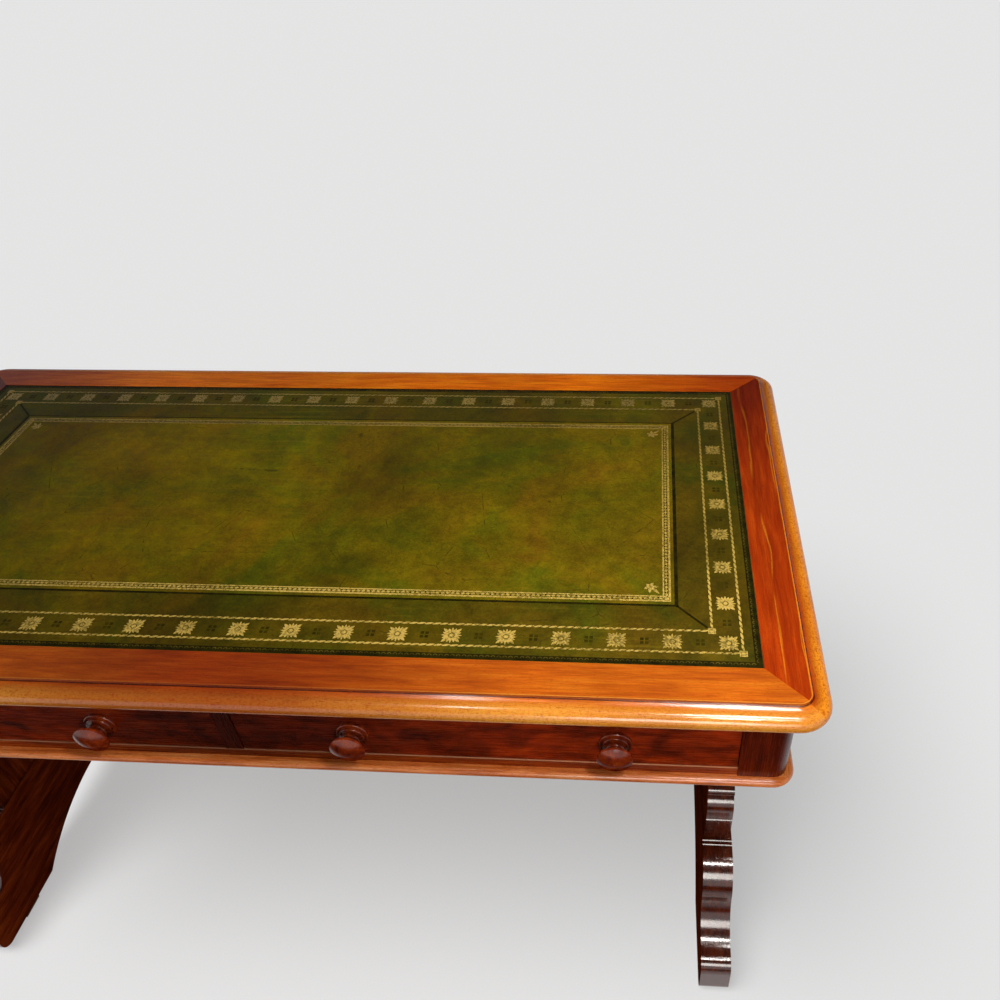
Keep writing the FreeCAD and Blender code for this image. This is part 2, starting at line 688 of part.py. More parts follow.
def knob(label, x, y, z, side):
    """Turned knob: a stepped rose, a beaded neck and a domed face; side gives the way it points."""
    out = as_size(side)
    dome = (dim.knob_radius * dim.knob_radius + dim.knob_dome * dim.knob_dome) / (2 * dim.knob_dome)
    rose_top = dim.rose_thick + dim.rose_rise
    inner_rose = dim.rose_radius - dim.rose_step
    bead_middle = rose_top + dim.neck_bead * 2
    bead_high = bead_middle + dim.neck_bead
    rim_low = dim.knob_reach - dim.knob_dome - dim.knob_rim
    rim_back = rim_low - dim.knob_edge
    outline = [
        (0, -side * dim.stem_length),
        (dim.stem_radius, -side * dim.stem_length),
        (dim.stem_radius, 0),
        (dim.rose_radius, 0),
        rounding(dim.rose_radius, dim.rose_thick - dim.rose_round, dim.rose_radius - dim.rose_round, side),
        (dim.rose_radius - dim.rose_round, out * dim.rose_thick),
        (inner_rose, out * dim.rose_thick),
        rounding(inner_rose, rose_top - dim.rose_round, inner_rose - dim.rose_round, side),
        (inner_rose - dim.rose_round, out * rose_top),
        (dim.neck_radius, out * (bead_middle - dim.neck_bead), (dim.neck_radius, out * bead_middle)),
        (dim.neck_radius + dim.neck_bead, out * bead_middle, (dim.neck_radius, out * bead_middle)),
        (dim.neck_radius, out * bead_high),
        (dim.neck_radius, out * (bead_high + dim.neck_bead / 2)),
        (dim.neck_radius + dim.neck_bead, out * (rim_back - dim.neck_bead / 2)),
        (dim.knob_radius - dim.knob_edge, out * rim_back, (dim.knob_radius - dim.knob_edge, out * rim_low)),
        (dim.knob_radius, out * rim_low),
        (dim.knob_radius, out * (rim_low + dim.knob_rim), (0, out * (dim.knob_reach - dome))),
        (0, out * dim.knob_reach),
    ]
    return turned(label, "XY_Plane", "V_Axis", outline, x, y, z)


def knob_room(label, x, y, z, side):
    """Hole for a knob's stem."""
    depth = dim.stem_length + dim.fit_gap
    start = y if side < 0 else y - depth
    return rod(label, "y", dim.stem_radius + dim.fit_gap, (x, start, z), depth)


# Drawers at the front, dummy drawer fronts at the back.
front_low = opening_low + dim.running_gap
front_high = opening_high - dim.drawer_gap
knob_z = (opening_low + opening_high) / 2 + dim.knob_rise
drawer_face = rail_face - dim.drawer_setback
drawer_inside = drawer_face - dim.drawer_front_thick
drawer_end = dim.back_room - drawer_inside
side_high = opening_high - dim.side_drop
bottom_low = front_low + dim.drawer_bottom_rise
bottom_high = bottom_low + dim.drawer_bottom_thick
side_height = side_high - front_low
opening_middle = (divider_x + post_x) / 2
half_front = (post_x - divider_x) / 2 - dim.drawer_gap
stops = []
dummy_knobs = []


def dovetailed_side():
    """Outline of a drawer side with two dovetails at its front end."""
    outline = [(-drawer_end, front_low), (-drawer_end, side_high)]
    outline.append((-drawer_inside, side_high))
    for share in (0.75, 0.25):
        middle = front_low + side_height * share
        root = dim.tail_root / 2
        tip = root + dim.tail_flare
        outline.append((-drawer_inside, middle + root))
        outline.append((-drawer_inside - dim.tail_length, middle + tip))
        outline.append((-drawer_inside - dim.tail_length, middle - tip))
        outline.append((-drawer_inside, middle - root))
    outline.append((-drawer_inside, front_low))
    return outline


for name, end in (("left", -1), ("right", 1)):
    middle_x = end * opening_middle
    low_x = middle_x - half_front
    high_x = middle_x + half_front
    drawer = f"{name}_drawer"
    thick = dim.drawer_side_thick

    # The bottom lies in grooves of the front and the sides and passes under the back.
    bottom_x = (low_x + thick - dim.groove_depth, high_x - thick + dim.groove_depth)
    bottom_y = (-drawer_inside - dim.groove_depth, -drawer_end)
    bottom = board(f"{drawer}_bottom", bottom_x, bottom_y, (bottom_low, bottom_high))
    finish(f"{drawer}_bottom", bottom)

    sides = []
    for side_name, limits in (("left", (low_x, low_x + thick)), ("right", (high_x - thick, high_x))):
        blank = prism(f"{drawer}_side_{side_name}_blank", "YZ_Plane", dovetailed_side(), limits)
        sides.append(blank)
        finish(f"{drawer}_side_{side_name}", cut(f"{drawer}_side_{side_name}", blank, [bottom]))

    back_x = (low_x + thick, high_x - thick)
    back_y = (-drawer_end - thick, -drawer_end)
    finish(f"{drawer}_back", board(f"{drawer}_back", back_x, back_y, (bottom_high, side_high)))

    front_y = (-drawer_face, -drawer_inside)
    face = board(f"{drawer}_front_length", (low_x, high_x), front_y, (front_low, front_high))
    rooms = sides + [bottom]
    knobs = []
    for step in (-1, 1):
        x = middle_x + step * dim.knob_spacing / 2
        knobs.append(knob(f"{drawer}_knob_{step + 1}", x, -drawer_face, knob_z, -1))
        rooms.append(knob_room(f"{drawer}_knob_room_{step + 1}", x, -drawer_face, knob_z, -1))
        stop_middle = middle_x + step * dim.stop_spacing / 2
        stop_y = -drawer_inside + dim.running_gap
        stops.append(
            board(
                f"{drawer}_stop_{step + 1}",
                (stop_middle - dim.stop_length / 2, stop_middle + dim.stop_length / 2),
                (stop_y, stop_y + dim.stop_depth),
                (opening_low, opening_low + dim.stop_height),
            )
        )
    finish(f"{drawer}_front", cut(f"{drawer}_front", face, rooms))
    finish(f"{drawer}_knobs", group(f"{drawer}_knobs", knobs))

    dummy_y = (drawer_inside, drawer_face)
    dummy = board(f"dummy_front_{name}_length", (low_x, high_x), dummy_y, (opening_low, front_high))
    rooms = []
    for step in (-1, 1):
        x = middle_x + step * dim.knob_spacing / 2
        dummy_knobs.append(knob(f"dummy_knob_{name}_{step + 1}", x, drawer_face, knob_z, 1))
        rooms.append(knob_room(f"dummy_knob_room_{name}_{step + 1}", x, drawer_face, knob_z, 1))
    finish(f"dummy_front_{name}", cut(f"dummy_front_{name}", dummy, rooms))
finish("drawer_stops", group("drawer_stops", stops))
finish("dummy_knobs", group("dummy_knobs", dummy_knobs))


def mirrored(half):
    """Whole outline from its front half, given from the top down as (reach, height, arc centre)."""
    outline = []
    for reach, height, centre in half:
        outline.append((-as_size(reach), height, centre and (-as_size(centre[0]), centre[1])))
    previous = [None] + [centre for _, _, centre in half[:-1]]
    for (reach, height, _), centre in reversed(list(zip(half, previous))):
        outline.append((reach, height, centre))
    return [entry if entry[2] else entry[:2] for entry in outline]


# Outline of an end standard: a cap, a hollowed waist and a collar of two rounds above a plain face.
fascia_top = dim.foot_height + dim.fascia_height
roll_top = fascia_top + dim.roll_height
roll_in = collar - dim.roll_reach
roll_radius = (dim.roll_reach * dim.roll_reach + dim.roll_height * dim.roll_height) / (2 * dim.roll_reach)
quirk_top = roll_top + dim.quirk_height
round_out = roll_in + dim.quirk_sink
shaft_half = round_out - dim.collar_round
shaft_low = quirk_top + dim.collar_round
cap_low = bearer_low - dim.cap_height
shaft_top = cap_low - dim.cap_cove
cap_half = collar - dim.cap_step
shaft_top_half = cap_half - dim.cap_cove
waist_middle = (shaft_low + shaft_top) / 2
waist_half = (shaft_top - shaft_low) / 2
waist_radius = (waist_half * waist_half + dim.waist_sink * dim.waist_sink) / (2 * dim.waist_sink)
line_middle = dim.foot_height + dim.line_height
standard_half = [
    (cap_half, bearer_low, None),
    (cap_half, cap_low, (cap_half, shaft_top)),
    (shaft_top_half, shaft_top, (shaft_half - dim.waist_sink + waist_radius, waist_middle)),
    (shaft_half, shaft_low, (shaft_half, quirk_top)),
    (round_out, quirk_top, None),
    (roll_in, quirk_top, None),
    (roll_in, roll_top, (collar - roll_radius, fascia_top)),
    (collar, fascia_top, None),
    (collar, line_middle + dim.line_width / 2, None),
    (collar - dim.line_width / 2, line_middle, None),
    (collar, line_middle - dim.line_width / 2, None),
    (collar, dim.foot_height, None),
]

# Outline of a foot: a reeded flat, a knee, a hollow sweep and a rounded toe, with an arch below.
flat_end = collar + dim.foot_flat
reed = dim.foot_flat / 3
knee_out = flat_end + dim.knee_radius
knee_low = dim.foot_height - dim.knee_radius
sweep_out = knee_out + dim.sweep_radius
sweep_low = knee_low - dim.sweep_radius
toe_out = sweep_out + dim.toe_radius
toe_low = sweep_low - dim.toe_radius
heel_low = dim.pad_height
arch_half = toe_out - dim.heel_radius - dim.sole_length
arch_radius = (arch_half * arch_half + dim.arch_rise * dim.arch_rise) / (2 * dim.arch_rise)
foot_half = []
for count in (1, 2):
    foot_half.append((collar + reed * count - dim.line_width / 2, dim.foot_height, None))
    foot_half.append((collar + reed * count, dim.foot_height - dim.line_width / 2, None))
    foot_half.append((collar + reed * count + dim.line_width / 2, dim.foot_height, None))
foot_half += [
    (flat_end, dim.foot_height, (flat_end, knee_low)),
    (knee_out, knee_low, (sweep_out, knee_low)),
    (sweep_out, sweep_low, (sweep_out, toe_low)),
    (toe_out, toe_low, None),
    (toe_out, heel_low + dim.heel_radius, (toe_out - dim.heel_radius, heel_low + dim.heel_radius)),
    (toe_out - dim.heel_radius, heel_low, None),
    (arch_half, heel_low, (as_size(0), heel_low + dim.arch_rise - arch_radius)),
]

# Outline of a bearer, hollowed at the lower corners of its ends.
bearer_half = frieze_y - dim.bearer_setback
bearer_outline = [
    (bearer_half, base_low, None),
    (bearer_half, bearer_low + dim.bearer_cove, (bearer_half, bearer_low)),
    (bearer_half - dim.bearer_cove, bearer_low, None),
]

# End supports: a bearer, a standard tenoned into it and into a foot, and pads under the toes.
stand_half = dim.stand_thick / 2
tenon_half = dim.stand_tenon_thick / 2
long_half = collar - dim.stand_tenon_inset
long_y = (-long_half, long_half)
long_mortise_y = (-(long_half + dim.fit_gap), long_half + dim.fit_gap)
tenon_low = dim.foot_height - dim.stand_tenon
tenon_high = bearer_low + dim.bearer_tenon
pads = []
bosses = []
for name, end in (("left", -1), ("right", 1)):
    centre = end * stand_centre
    plank = prism(
        f"standard_{name}_plank", "YZ_Plane", mirrored(standard_half), (centre - stand_half, centre + stand_half)
    )
    tenon = board(
        f"standard_{name}_tenon", (centre - tenon_half, centre + tenon_half), long_y, (tenon_low, tenon_high)
    )
    mortise = board(
        f"standard_{name}_mortise",
        (centre - tenon_half - dim.fit_gap, centre + tenon_half + dim.fit_gap),
        long_mortise_y,
        (tenon_low - dim.fit_gap, tenon_high + dim.fit_gap),
    )
    inner_face = centre - end * stand_half
    outer_face = centre + end * stand_half
    stretcher_reach = dim.stretcher_tenon + dim.fit_gap
    bore_start = inner_face if end > 0 else inner_face - stretcher_reach
    stretcher_room = rod(
        f"standard_{name}_stretcher_room",
        "x",
        dim.stretcher_tenon_radius + dim.fit_gap,
        (bore_start, as_size(0), stretcher_height),
        stretcher_reach,
    )
    boss_reach = dim.boss_stem + dim.fit_gap
    boss_start = outer_face - boss_reach if end > 0 else outer_face
    boss_room = rod(
        f"standard_{name}_boss_room",
        "x",
        dim.boss_stem_radius + dim.fit_gap,
        (boss_start, as_size(0), stretcher_height),
        boss_reach,
    )
    whole = join(f"standard_{name}_whole", [plank, tenon])
    finish(f"standard_{name}", cut(f"standard_{name}", whole, [stretcher_room, boss_room]))

    foot_x = (centre - dim.foot_width / 2, centre + dim.foot_width / 2)
    foot = prism(f"foot_{name}_blank", "YZ_Plane", mirrored(foot_half), foot_x)
    finish(f"foot_{name}", cut(f"foot_{name}", foot, [mortise]))
    bearer_x = (centre - dim.bearer_width / 2, centre + dim.bearer_width / 2)
    bearer = prism(f"bearer_{name}_blank", "YZ_Plane", mirrored(bearer_outline), bearer_x)
    finish(f"bearer_{name}", cut(f"bearer_{name}", bearer, [mortise] + bearer_screw_holes[name]))

    pad_middle = arch_half + dim.sole_length / 2
    pad_half = dim.pad_size / 2
    for side in (-1, 1):
        pads.append(
            board(
                f"foot_pad_{name}_{side + 1}",
                (centre - pad_half, centre + pad_half),
                (side * pad_middle - pad_half, side * pad_middle + pad_half),
                (0, dim.pad_height),
            )
        )

    boss_outline = [
        (-end * dim.boss_stem, 0),
        (-end * dim.boss_stem, dim.boss_stem_radius),
        (0, dim.boss_stem_radius),
        (0, dim.boss_radius),
        (end * dim.boss_thick * 0.4, dim.boss_radius),
        (end * dim.boss_thick * 0.55, dim.boss_radius * 0.85),
        (end * dim.boss_thick * 0.55, dim.boss_radius * 0.7),
        (end * dim.boss_thick * 0.8, dim.boss_radius * 0.55),
        (end * dim.boss_thick, dim.boss_radius * 0.25),
        (end * dim.boss_thick, 0),
    ]
    bosses.append(
        turned(
            f"stretcher_boss_{name}", "XZ_Plane", "H_Axis", boss_outline, outer_face, 0, stretcher_height
        )
    )
finish("foot_pads", group("foot_pads", pads))
finish("stretcher_bosses", group("stretcher_bosses", bosses))

# Turned stretcher between the standards, with rings near its ends and at its middle.
stretcher_half = stand_centre - stand_half
ring = dim.stretcher_neck + dim.ring_reach
ring_end = stretcher_half - dim.ring_width
neck_start = ring_end - dim.ring_slope
neck_end = neck_start - dim.neck_run
second_start = neck_end - dim.ring_slope
second_end = second_start - dim.second_width
second = ring - dim.second_drop
knop_end = dim.knop_half + dim.knop_slope
knop_neck = knop_end + dim.knop_fall
stretcher_start = knop_neck + dim.knop_neck
stretcher_upper = [
    (stretcher_half + dim.stretcher_tenon, dim.stretcher_tenon_radius),
    (stretcher_half, dim.stretcher_tenon_radius),
    (stretcher_half, ring),
    (ring_end, ring),
    (neck_start, dim.stretcher_neck),
    (neck_end, dim.stretcher_neck),
    (second_start, second),
    (second_end, second),
    (second_end - dim.ring_slope, dim.stretcher_neck + 2.0),
    (stretcher_start + dim.knop_rise, dim.stretcher_radius - 1.0),
    (stretcher_start, dim.stretcher_neck + 1.0),
    (knop_neck, dim.stretcher_neck + 1.0),
    (knop_end, dim.stretcher_radius + dim.knop_reach - dim.knop_drop),
    (dim.knop_half, dim.stretcher_radius + dim.knop_reach),
]
stretcher_outline = [(stretcher_half + dim.stretcher_tenon, 0)]
stretcher_outline += stretcher_upper
stretcher_outline += [(-x, radius) for x, radius in reversed(stretcher_upper)]
stretcher_outline.append((-(stretcher_half + dim.stretcher_tenon), 0))
finish("stretcher", turned("stretcher", "XZ_Plane", "H_Axis", stretcher_outline, 0, 0, stretcher_height))

doc.recompute()
for obj in doc.Objects:
    if "Invalid" in obj.State or "Error" in obj.State:
        raise RuntimeError(f"{obj.Label} did not build: {obj.State}")
os.makedirs("parts", exist_ok=True)
for label, obj in pieces.items():
    if obj.Shape.isNull() or not obj.Shape.isValid() or not obj.Shape.Solids:
        raise RuntimeError(f"{label} has no valid solid")
    obj.Shape.exportStep(f"parts/{label}.step")
print(f"{len(pieces)} pieces written")
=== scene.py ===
"""Writing table: mahogany library table with a gilt tooled leather top and two drawers."""

import logging
import math
from dataclasses import dataclass, field
from enum import Enum
from typing import Any, Optional, Sequence

import bpy
from mathutils import Matrix, Vector


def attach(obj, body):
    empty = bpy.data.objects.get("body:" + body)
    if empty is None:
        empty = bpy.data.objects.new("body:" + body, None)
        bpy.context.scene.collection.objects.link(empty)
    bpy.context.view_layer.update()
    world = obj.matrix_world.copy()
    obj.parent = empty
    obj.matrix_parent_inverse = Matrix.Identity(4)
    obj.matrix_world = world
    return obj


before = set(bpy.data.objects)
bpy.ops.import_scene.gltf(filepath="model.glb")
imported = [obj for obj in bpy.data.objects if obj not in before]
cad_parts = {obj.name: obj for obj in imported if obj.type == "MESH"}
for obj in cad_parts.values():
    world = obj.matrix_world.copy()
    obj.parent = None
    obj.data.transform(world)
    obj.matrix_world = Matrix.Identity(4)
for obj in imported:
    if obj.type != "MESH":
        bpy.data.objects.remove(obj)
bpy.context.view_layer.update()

logging.basicConfig(level=logging.INFO, format="%(message)s")
log = logging.getLogger("writing_table")

MM = 0.001
CORNERS = ((-1, -1), (-1, 1), (1, -1), (1, 1))


class Grain(Enum):
    """Axis that the wood's fibres follow, as the turn that brings them onto X."""

    ACROSS = (0.0, 0.0, 0.0)
    DEEP = (0.0, 0.0, math.pi / 2)
    UPRIGHT = (0.0, math.pi / 2, 0.0)


class Figure(Enum):
    """Figure of the veneer: its run along and across the grain per metre, its darkest and its lightest."""

    STRAIGHT = (2.5, 16.0, 0.86, 1.12)
    FLAME = (20.0, 30.0, 0.30, 1.75)
    CATHEDRAL = (2.0, 12.0, 0.80, 1.18)


class Dull(Enum):
    """Faces left unpolished: axis of their normal, its part where the polish is full and where it ends."""

    NOWHERE = ("Z", 0.0, 0.0)
    SIDES = ("X", 0.6, 0.9)
    BELOW = ("Z", 0.15, -0.20)


class Side(Enum):
    """Side of the table, as the way that it faces."""

    FRONT = (0, -1)
    BACK = (0, 1)
    LEFT = (-1, 0)
    RIGHT = (1, 0)


def linear(code: str) -> tuple[float, float, float, float]:
    """Turn an sRGB hex value to a linear colour.

    Args:
        code: six hex digits with a leading hash.

    Returns:
        Red, green, blue and full alpha.
    """
    parts = [int(code[at : at + 2], 16) / 255 for at in (1, 3, 5)]
    lit = [part / 12.92 if part <= 0.04045 else ((part + 0.055) / 1.055) ** 2.4 for part in parts]
    return (lit[0], lit[1], lit[2], 1.0)


def add_node(
    tree: bpy.types.NodeTree,
    kind: str,
    settings: Optional[dict[Any, Any]] = None,
    links: Optional[dict[Any, bpy.types.NodeSocket]] = None,
) -> bpy.types.Node:
    """Add one node, set it and link it.

    Args:
        tree: the material's nodes.
        kind: Blender's name of the node.
        settings: options by attribute name, constants by socket, and a ramp's stops.
        links: sockets to link in, by input.

    Returns:
        The new node.
    """
    made = tree.nodes.new(kind)
    for name, value in (settings or {}).items():
        if name == "stops":
            ramp = made.color_ramp
            while len(ramp.elements) < len(value):
                ramp.elements.new(1.0)
            for element, (place, colour) in zip(ramp.elements, value):
                element.position = place
                element.color = linear(colour) if isinstance(colour, str) else (colour, colour, colour, 1.0)
        elif isinstance(name, str) and name in made.bl_rna.properties:
            setattr(made, name, value)
        else:
            made.inputs[name].default_value = linear(value) if isinstance(value, str) else value
    for name, socket in (links or {}).items():
        tree.links.new(socket, made.inputs[name])
    return made


def new_material(name: str) -> tuple[bpy.types.Material, bpy.types.NodeTree]:
    """Start a material with no nodes in it.

    Args:
        name: the real material's name.

    Returns:
        The material and its nodes.
    """
    material = bpy.data.materials.new(name)
    material.use_nodes = True
    material.node_tree.nodes.clear()
    return material, material.node_tree


@dataclass(frozen=True)
class PaintedShade:
    """Painted shade on the wood: darkening along one axis, where less light falls."""

    tint: str
    axis: str = "X"
    dark_at: float = 0.02
    unshaded_at: float = 0.42
    over_edge: bool = True


@dataclass(frozen=True)
class Mahogany:
    """French polished mahogany: fine dark pores and ribbon under a clear glossy film."""

    name: str
    dark: str
    mid: str
    light: str
    grain: Grain = Grain.ACROSS
    figure: Figure = Figure.STRAIGHT
    roughness: float = 0.22
    sheen: float = 0.1
    # Amber of the worn edge; it also colours the painted highlight on the quirk's arris and the pale lines of
    # cathedral figure.
    worn: Optional[str] = None
    worn_from: tuple[float, float] = (0.676, 0.350)
    worn_round: float = 0.017
    # Height of an arris that gets a painted highlight.
    arris: Optional[float] = None
    painted_shade: Optional[PaintedShade] = None
    dull: Dull = Dull.NOWHERE

    def make(self) -> bpy.types.Material:
        """Build the finish.

        Returns:
            The material.
        """
        material, tree = new_material(self.name)
        place = add_node(tree, "ShaderNodeTexCoord").outputs["Object"]
        turned = add_node(
            tree, "ShaderNodeMapping", {"Rotation": self.grain.value}, {"Vector": place}
        ).outputs["Vector"]

        # Growth bands repeat every 10 mm, fibres are 1.3 by 45 mm and pores 1 by 6 mm.
        # All are coarser than life, so that they show.
        along, across, darkest, lightest = self.figure.value
        layers = {}
        for layer, scale, detail, twist in (
            ("bands", (11.0, 1 / 0.010, 1 / 0.010), 8.0, 0.25),
            ("fibres", (1 / 0.045, 1 / 0.0013, 1 / 0.0013), 3.0, 0.25),
            ("pores", (1 / 0.006, 1 / 0.001, 1 / 0.001), 1.0, 0.25),
            ("figure", (along, across, across), 4.0, 0.6),
        ):
            laid = add_node(tree, "ShaderNodeMapping", {"Scale": scale}, {"Vector": turned}).outputs["Vector"]
            layers[layer] = add_node(
                tree,
                "ShaderNodeTexNoise",
                {"Scale": 1.0, "Detail": detail, "Roughness": 0.64, "Distortion": twist},
                {"Vector": laid},
            ).outputs["Fac"]
        colour = add_node(
            tree,
            "ShaderNodeValToRGB",
            {"stops": [(0.30, self.dark), (0.50, self.mid), (0.70, self.light)]},
            {"Fac": layers["bands"]},
        ).outputs["Color"]
        if self.figure is Figure.CATHEDRAL:
            colour = self.arches(tree, turned, colour)

        # Slow drift of tone, about 170 mm from patch to patch, from long years of light.
        layers["drift"] = add_node(
            tree, "ShaderNodeTexNoise", {"Scale": 6.0, "Detail": 4.0, "Roughness": 0.55}, {"Vector": place}
        ).outputs["Fac"]
        for layer, low, high in (
            ("figure", darkest, lightest),
            ("fibres", 0.80, 1.16),
            ("drift", 0.86, 1.14),
        ):
            shade = add_node(
                tree,
                "ShaderNodeMapRange",
                {"From Min": 0.3, "From Max": 0.7, "To Min": low, "To Max": high},
                {"Value": layers[layer]},
            ).outputs["Result"]
            colour = add_node(
                tree, "ShaderNodeVectorMath", {"operation": "SCALE"}, {0: colour, "Scale": shade}
            ).outputs["Vector"]
        axes = add_node(tree, "ShaderNodeSeparateXYZ", None, {"Vector": place}).outputs
        # Painted shade that stops at the worn edge goes on before the wear.
        if self.painted_shade and not self.painted_shade.over_edge:
            colour = self.paint_shade(tree, axes[self.painted_shade.axis], colour)
        if self.worn:
            colour = self.wear(tree, place, colour, layers["drift"])
        open_pores = add_node(
            tree,
            "ShaderNodeMapRange",
            {"From Min": 0.58, "From Max": 0.70, "To Max": 0.6},
            {"Value": layers["pores"]},
        ).outputs["Result"]
        colour = add_node(
            tree, "ShaderNodeMix", {"data_type": "RGBA", 7: self.dark}, {0: open_pores, 6: colour}
        ).outputs[2]
        # A painted highlight along the arris at that height.
        if self.arris is not None:
            colour = self.paint_arris_highlight(tree, axes["Z"], colour)
        # Otherwise the painted shade goes on over everything.
        if self.painted_shade and self.painted_shade.over_edge:
            colour = self.paint_shade(tree, axes[self.painted_shade.axis], colour)

        gloss = add_node(
            tree,
            "ShaderNodeMapRange",
            {"From Min": 0.35, "From Max": 0.75, "To Min": self.roughness, "To Max": self.roughness + 0.14},
            {"Value": layers["fibres"]},
        ).outputs["Result"]
        bump = add_node(
            tree, "ShaderNodeBump", {"Strength": 0.16, "Distance": 0.0003}, {"Height": layers["fibres"]}
        ).outputs["Normal"]
        polish = {"Base Color": colour, "Roughness": gloss, "Normal": bump}
        if self.dull is not Dull.NOWHERE:
            # Faces that the rubber missed keep a dead, unpolished surface.
            axis, bright, dead = self.dull.value
            normal = add_node(tree, "ShaderNodeTexCoord").outputs["Normal"]
            facing = add_node(tree, "ShaderNodeSeparateXYZ", None, {"Vector": normal}).outputs[axis]
            if self.dull is Dull.SIDES:
                facing = add_node(tree, "ShaderNodeMath", {"operation": "ABSOLUTE"}, {0: facing}).outputs[0]
            polish["Specular IOR Level"] = add_node(
                tree,
                "ShaderNodeMapRange",
                {"From Min": bright, "From Max": dead, "To Min": self.sheen, "To Max": 0.0},
                {"Value": facing},
            ).outputs["Result"]
        surface = add_node(
            tree, "ShaderNodeBsdfPrincipled", {"IOR": 1.5, "Specular IOR Level": self.sheen}, polish
        ).outputs["BSDF"]
        add_node(tree, "ShaderNodeOutputMaterial", None, {"Surface": surface})
        return material

    def arches(
        self, tree: bpy.types.NodeTree, turned: bpy.types.NodeSocket, colour: bpy.types.NodeSocket
    ) -> bpy.types.NodeSocket:
        """Draw the pale lines of cathedral figure, 30 mm apart, broken where the cut leaves them.

        Args:
            tree: the material's nodes.
            turned: coordinates with the grain along X.
            colour: colour of the ground.

        Returns:
            The figured colour.
        """
        laid = add_node(
            tree, "ShaderNodeMapping", {"Scale": (0.22, 1.0, 1.0)}, {"Vector": turned}
        ).outputs["Vector"]
        waves = add_node(
            tree,
            "ShaderNodeTexWave",
            {
                "bands_direction": "Y",
                "Scale": 0.314 / 0.030,
                "Distortion": 6.0,
                "Detail": 3.0,
                "Detail Scale": 1.3,
            },
            {"Vector": laid},
        ).outputs["Fac"]
        lines = add_node(
            tree, "ShaderNodeMapRange", {"From Min": 0.98, "From Max": 1.0, "To Max": 0.4}, {"Value": waves}
        ).outputs["Result"]
        broken = add_node(
            tree, "ShaderNodeTexNoise", {"Scale": 9.0, "Detail": 1.0}, {"Vector": turned}
        ).outputs["Fac"]
        broken = add_node(
            tree, "ShaderNodeMapRange", {"From Min": 0.42, "From Max": 0.56}, {"Value": broken}
        ).outputs["Result"]
        lines = add_node(tree, "ShaderNodeMath", {"operation": "MULTIPLY"}, {0: lines, 1: broken}).outputs[0]
        return add_node(
            tree, "ShaderNodeMix", {"data_type": "RGBA", 7: self.worn or self.light}, {0: lines, 6: colour}
        ).outputs[2]

    def paint_arris_highlight(
        self, tree: bpy.types.NodeTree, height: bpy.types.NodeSocket, colour: bpy.types.NodeSocket
    ) -> bpy.types.NodeSocket:
        """Paint a pale highlight along an arris.

        Args:
            tree: the material's nodes.
            height: the Z coordinate.
            colour: colour of the wood without the highlight.

        Returns:
            The colour with the painted highlight.
        """
        away = add_node(
            tree, "ShaderNodeMath", {"operation": "SUBTRACT", 1: self.arris}, {0: height}
        ).outputs[0]
        away = add_node(tree, "ShaderNodeMath", {"operation": "ABSOLUTE"}, {0: away}).outputs[0]
        # Painted highlight: strongest on the arris, gone 1.6 mm from it.
        rubbed = add_node(
            tree,
            "ShaderNodeMapRange",
            {"From Min": 0.0005, "From Max": 0.0016, "To Min": 0.75, "To Max": 0.0},
            {"Value": away},
        ).outputs["Result"]
        # Pale tone of the painted highlight.
        return add_node(
            tree, "ShaderNodeMix", {"data_type": "RGBA", 7: "#d59a72"}, {0: rubbed, 6: colour}
        ).outputs[2]

    def paint_shade(
        self, tree: bpy.types.NodeTree, along: bpy.types.NodeSocket, colour: bpy.types.NodeSocket
    ) -> bpy.types.NodeSocket:
        """Paint shade on the wood towards one place, alike on both sides of the table's middle in X.

        Args:
            tree: the material's nodes.
            along: the coordinate along which it darkens.
            colour: colour of the unshaded wood.

        Returns:
            The colour with its painted shade.
        """
        if self.painted_shade.axis == "X":
            along = add_node(tree, "ShaderNodeMath", {"operation": "ABSOLUTE"}, {0: along}).outputs[0]
        dark = add_node(
            tree,
            "ShaderNodeMapRange",
            {
                "interpolation_type": "SMOOTHSTEP",
                "From Min": self.painted_shade.dark_at,
                "From Max": self.painted_shade.unshaded_at,
                "To Min": 1.0,
                "To Max": 0.0,
            },
            {"Value": along},
        ).outputs["Result"]
        return add_node(
            tree,
            "ShaderNodeMix",
            {"data_type": "RGBA", "blend_type": "MULTIPLY", 7: self.painted_shade.tint},
            {0: dark, 6: colour},
        ).outputs[2]

    def wear(
        self,
        tree: bpy.types.NodeTree,
        place: bpy.types.NodeSocket,
        colour: bpy.types.NodeSocket,
        drift: bpy.types.NodeSocket,
    ) -> bpy.types.NodeSocket:
        """Fade the moulded edge to amber where hands and sun have thinned the stain, and paint shade in its
        quirk and a highlight on the arris above.

        Args:
            tree: the material's nodes.
            place: object coordinates.
            colour: colour of the sound wood.
            drift: slow noise that breaks the fade.

        Returns:
            The worn colour, with the painted shade and highlight.
        """
